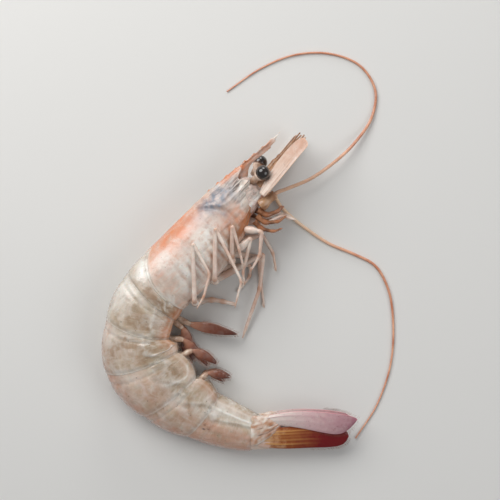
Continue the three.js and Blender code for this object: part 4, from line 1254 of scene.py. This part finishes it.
def legs(draw):
    """Ten walking legs, the first three pairs with pincers, and the two limbs at the mouth."""
    roots = []
    for node, (start, stretches) in LEGS.items():
        joints = limb_joints(head_point(*start), stretches)
        path = bent_path(joints)
        radii = jointed_radii(path, joints, *STOUT_LEGS.get(node, LEG_GIRTH))
        chains = [(path, radii, joint_stains(path, joints))]
        if node[4] in "123":
            # A small pincer: a second finger beside the tip.
            tip, before = path[-1], path[-6]
            aside = (tip - before).cross(UP).normalized() * 0.45
            chains.append(([before, before.lerp(tip, 0.5) + aside, tip + aside * 0.6], [0.3, 0.24, 0.06]))
        # A thick base joint where the leg leaves the body.
        inward = (joints[0] - joints[1]).normalized()
        if node in ROOT_TURNED:
            way = math.radians(ROOT_TURNED[node])
            inward = Vector((math.cos(way), math.sin(way), 0))
        base = [joints[0] + inward * ROOT_REACH.get(node, 0.6)]
        base += [joints[0].lerp(joints[1], t) for t in (0, 0.4, 0.75)]
        chains.append((base, [0.9, 1.25, 1.2, 0.7]))
        limb(f"walking_{node}", chains, LEG_HORN, "leg", [node])
        roots += brush(path, radii, 0.72, 1, draw)
    for label, side in SIDES:
        joints = limb_joints(head_point(31, side * 2.4, -5.6),
                             [[4, -10, side * 0.5], [6, 28, 0], [5, -15, -0.4]])
        joints[0] = joints[0] + (joints[0] - joints[1]).normalized() * MOUTH_LIMB["reach"]
        path = bent_path(joints)
        radii = jointed_radii(path, joints, MOUTH_LIMB["root"], MOUTH_LIMB["tip"])
        limb(f"mouth_limb_{label}", [(path, radii)], LEG_HORN, "leg", [f"maxilliped_{label}"])
        roots += brush(path, radii, 0.3, 2, draw)
    fringe("leg_bristles", roots, 0.7, 0.028, 53, LEG_HORN, "leg")


MOUTH_PARTS = [  # [forward, right, back], its stretches, root and tip radius
    ([35.2, 3.4, -3.6], [[3.2, -35, 0.2], [3.6, 20, -0.3], [2.6, 52, -0.2]], 1.15, 0.35),
    ([33.4, 3.9, -4.6], [[3.4, -40, 0.2], [4.4, 5, -0.4], [3.2, 38, -0.2]], 1.05, 0.3),
    ([31.6, 4.3, -5.2], [[3.2, -48, 0.2], [4.2, -12, -0.4], [3.0, 22, -0.2]], 1.0, 0.28),
    ([34.6, 0.4, -3.8], [[3.6, -30, 0.1], [4.2, 15, -0.3], [2.8, 40, 0.0]], 1.1, 0.4),
    ([32.6, -2.8, -4.8], [[3.4, -38, 0.0], [4.0, 0, -0.2], [2.8, 30, 0.0]], 1.0, 0.3),
]


def mouth_parts(draw):
    """The brown jaws and feeding limbs packed under the head, ahead of the first legs."""
    chains = []
    for start, stretches, root, tip in MOUTH_PARTS:
        joints = limb_joints(head_point(*start), stretches)
        path = bent_path(joints, bend=1.4)
        chains.append((path, jointed_radii(path, joints, root, tip, 0.9), joint_stains(path, joints)))
    limb("mouth_parts", chains, MOUTH_HORN, "leg", [], sides=16)
    roots = [root for path, radii, _ in chains for root in brush(path, radii, 0.35, 2, draw)]
    fringe("mouth_bristles", roots, 1.0, 0.035, 41, BRISTLE, "leg")


ANTENNA = {"root": 0.62, "tip": 0.24, "clear": 0.45}
ANTENNA_BASE = {
    "right": ([36.4, 4.4, -2.8], [42.6, 5.4, -3]),
    "left": ([36.4, -4.4, -3.2], [41.8, -5, -6.4]),
}
ANTENNA_ROUTE = {
    "right": [[38.6, 28.4, 8.4], [45.4, 31.4, 6.6], [53, 36.7, 4.4], [59.9, 43.2, 2.2], [65.8, 51.9, 0.8],
              [67, 61, 0.5], [62, 69, 0.4], [52, 73, 0.4], [40, 72.5, 0.35], [29, 68, 0.3], [18, 60.5, 0.25]],
    "left": [[36, 22.4, 1.5], [39.8, 18.7, 1.2], [45.4, 14.4, 0.9], [52, 10.2, 0.6], [59.9, 6.9, 0.5],
             [67, 3, 0.5], [71.4, -5, 0.45], [73, -17, 0.4], [72, -30, 0.35], [67.5, -43, 0.3],
             [60.5, -54, 0.25]],
}
PALE_ROOT = {"right": 0.45, "left": 0.85}  # how pale each long feeler is where it starts


def feelers(draw):
    """Both sides' long ringed feelers and their roots, short forked feelers, and scales."""
    roots = []
    for label, side in SIDES:
        start, end = (head_point(*p) for p in ANTENNA_BASE[label])
        shares = [t / 24 for t in range(25)]
        swell = [lerp(1.95, 1.3, t) * (1 + 0.12 * math.sin(t * 2.6 * math.pi)) for t in shares]
        swell[0] *= 0.8
        swell[-1] *= 0.6
        limb(f"feeler_root_{label}", [([start.lerp(end, t) for t in shares], swell)], ROOT_HORN, "feeler",
             [f"antenna_root_{label}"], sides=20)
        first = end + (end - start).normalized() * ANTENNA["clear"]
        path = spline_path([end, first] + [Vector(p) for p in ANTENNA_ROUTE[label]], 0.22)
        radii, pale = [], []
        for i, p in enumerate(path):
            t = i / (len(path) - 1)
            r = lerp(ANTENNA["root"], ANTENNA["tip"], t)
            p.z = max(p.z, r + 0.02)
            radii.append(r * (0.4 if t == 1 else 1))
            pale.append(PALE_ROOT[label] * fade(t, 0.1, 0.25))
        limb(f"long_feeler_{label}", [(path, radii, pale)], FEELER_HORN, "feeler", [f"antenna_{label}"],
             sides=8, pitch=0.9, ringing=0.09)
        base = [head_point(x, side * (1.8 + 0.2 * i), 1.9 + 0.3 * i) for i, x in enumerate((40.4, 47, 53.5))]
        joints = [base[0], base[0].lerp(base[1], 0.8), base[1].lerp(base[2], 0.4), base[2]]
        stem = bent_path(joints)
        chains = [(stem, jointed_radii(stem, joints, 1.25, 0.95, 1.0))]
        for way in (-1, 1):
            whip = spline_path([head_point(52.6 + 3.2 * i, side * 2.4 + way * 0.35 * (i + 1),
                                           2.5 + 0.2 * i + way * 0.3 * i) for i in range(4)], 0.3)
            chains.append((whip, [lerp(0.45, 0.22, i / len(whip)) for i in range(len(whip))]))
        limb(f"short_feeler_{label}", chains, ROOT_HORN, "feeler", [f"antennule_{label}"])
        roots += antennal_scale(label, side, draw)
    fringe("scale_fringe", roots, 0.9, 0.05, 23, BRISTLE, "antennal_scale")


# ------------------------------------------------------------------ swimmerets
# Each pair: length, place along its plate, degrees it folds, half width, and height of each side's.
PADDLES = [
    {"length": 21, "from": 1.15, "fold": -18, "wide": 2.6, "right": 6.6, "left": 4.4},
    {"length": 14, "from": 0.35, "fold": 44, "wide": 2.1, "right": 8.2, "left": 3.2},
    {"length": 13, "from": 0.4, "fold": 54, "wide": 2.0, "right": 9.6, "left": 4.4},
    {"length": 12, "from": 0.4, "fold": 62, "wide": 1.9, "right": 10.8, "left": 5.6},
    {"length": 10, "from": 0.4, "fold": 62, "wide": 1.7, "right": 9.8, "left": 2.4},
]
PADDLE_OUTLINE = [[0, 0.35], [0.15, 0.7], [0.35, 1], [0.55, 0.94], [0.75, 0.66], [0.9, 0.34], [1, 0.05]]
PADDLE_STRETCHES = ((0.26, 0.3), (0.34, 1), (0.4, 1.12))  # shares of the length and of the fold


def paddle_blade(name, path, wide, nodes, draw):
    """One leaf of a swimmeret, with the roots of the bristles round its edge."""
    rippled = [p + Vector((0, 0, 0.12 * math.sin(i * 0.35))) for i, p in enumerate(path)]
    outline, slim = ([[x, w * wide * share] for x, w in PADDLE_OUTLINE] for share in (1, 0.75))
    margins = leaf(name, rippled, 3, outline, slim, 0.3, [[-0.1, 0.5]], PADDLE_HORN, "swimmeret", nodes,
                   0.12, 28)
    return along_margin(margins[-1], 0.25, 1.0, 0.3, draw) + along_margin(margins[1], 0.25, 1.0, 0.3, draw)


def swimmerets(draw):
    """Five pairs of paddles, each a stalk and a blade, and all but the first with a second branch."""
    roots = []
    for index, paddle in enumerate(PADDLES):
        along = lerp(JOINTS[index], JOINTS[index + 1], paddle["from"])
        deep = value_at(DEPTHS, along) / 2 * RINGS[index]["belly"]
        inward = math.degrees(middle(along)[2]) + 90
        length, fold = paddle["length"], paddle["fold"]
        for label, side in SIDES:
            start = body_point(along, 0, -deep - 0.8)
            start.z = paddle[label]
            stretches = [[length * share, inward - fold * bend, 0] for share, bend in PADDLE_STRETCHES]
            joints = limb_joints(start, stretches)
            path = spline_path(joints, length / 70)
            cut = int(len(path) * 0.24)
            stalk = [start - (joints[1] - start).normalized() * 1.6] + path[:cut + 3]
            swell = [0.75 + 0.25 * math.sin(math.pi * k / (len(stalk) - 1)) for k in range(len(stalk))]
            limb(f"paddle_stalk_{index + 1}_{label}", [(stalk, swell)], STALK_HORN, "swimmeret", [])
            roots += paddle_blade(f"paddle_{index + 1}_{label}", path[cut:], paddle["wide"] * 0.74,
                                  [f"swimmeret_{index + 1}_{label}"], draw)
            if index:
                # The second, shorter branch leaves the same stalk a little aside and below.
                turned = Matrix.Rotation(math.radians(-16 if fold > 0 else 16), 3, "Z")
                branch = [path[cut] + turned @ (p - path[cut]) * 0.78 - UP * 0.55 for p in path[cut:]]
                roots += paddle_blade(f"paddle_branch_{index + 1}_{label}", branch, paddle["wide"] * 0.5,
                                      [], draw)
    fringe("paddle_fringe", roots, 0.9, 0.05, 37, BRISTLE, "swimmeret")


# ------------------------------------------------------------------ the whole prawn
draw = random.Random(5)
inner_meat()
edge_hairs = [root for index in range(len(RINGS)) for root in ring_plate(index, draw)]
fringe("plate_fringe", edge_hairs, 0.6, 0.028, 67, BRISTLE, "body_shell")
head_shell()
face_block()
for label, side in SIDES:
    eye(label, side)
feelers(draw)
legs(draw)
mouth_parts(draw)
swimmerets(draw)
tail_fan(draw)


# ------------------------------------------------------------------ studio
SOFTBOXES = [  # place and width in metres, and power in watts
    ("key_softbox", (-0.24, 0.28, 0.34), 0.42, 1.95),
    ("fill_softbox", (0.4, -0.1, 0.4), 0.4, 0.75),
    ("rim_softbox", (0.05, 0.5, 0.16), 0.25, 0.7),
]
FLOOR_DROP = 0.00005  # the floor lies this far under the prawn, so that the two never share a plane
ROOM_LIGHT = 0.34
CAMERA_HEIGHT = 0.39
LENS = 85


def studio():
    """A pale matt floor, three soft lights and a camera straight above."""
    bpy.ops.mesh.primitive_plane_add(size=4, location=(0, 0, -FLOOR_DROP))
    floor = bpy.context.object
    floor.name = "studio_floor"
    material, _, shader = new_material("matt_white_card")
    set_shader(shader, Base_Color=hex_color("DAD8D4"), Roughness=0.9)
    floor.data.materials.append(material)
    scene = bpy.context.scene
    scene.world = bpy.data.worlds.new("soft_room")
    scene.world.use_nodes = True
    set_shader(scene.world.node_tree.nodes["Background"], Color=hex_color("E9EDF2"), Strength=ROOM_LIGHT)
    scene.view_settings.view_transform = "Standard"
    for name, place, size, power in SOFTBOXES:
        light = bpy.data.lights.new(name, "AREA")
        light.shape = "DISK"
        light.size = size
        light.energy = power
        lamp = bpy.data.objects.new(name, light)
        lamp.location = place
        lamp.rotation_euler = (-Vector(place)).to_track_quat("-Z", "Y").to_euler()
        scene.collection.objects.link(lamp)
    camera = bpy.data.cameras.new("overhead_camera")
    camera.lens = LENS
    camera.clip_start = 0.01
    stand = bpy.data.objects.new("overhead_camera", camera)
    stand.location = (0, 0, CAMERA_HEIGHT)
    scene.collection.objects.link(stand)
    scene.camera = stand


studio()
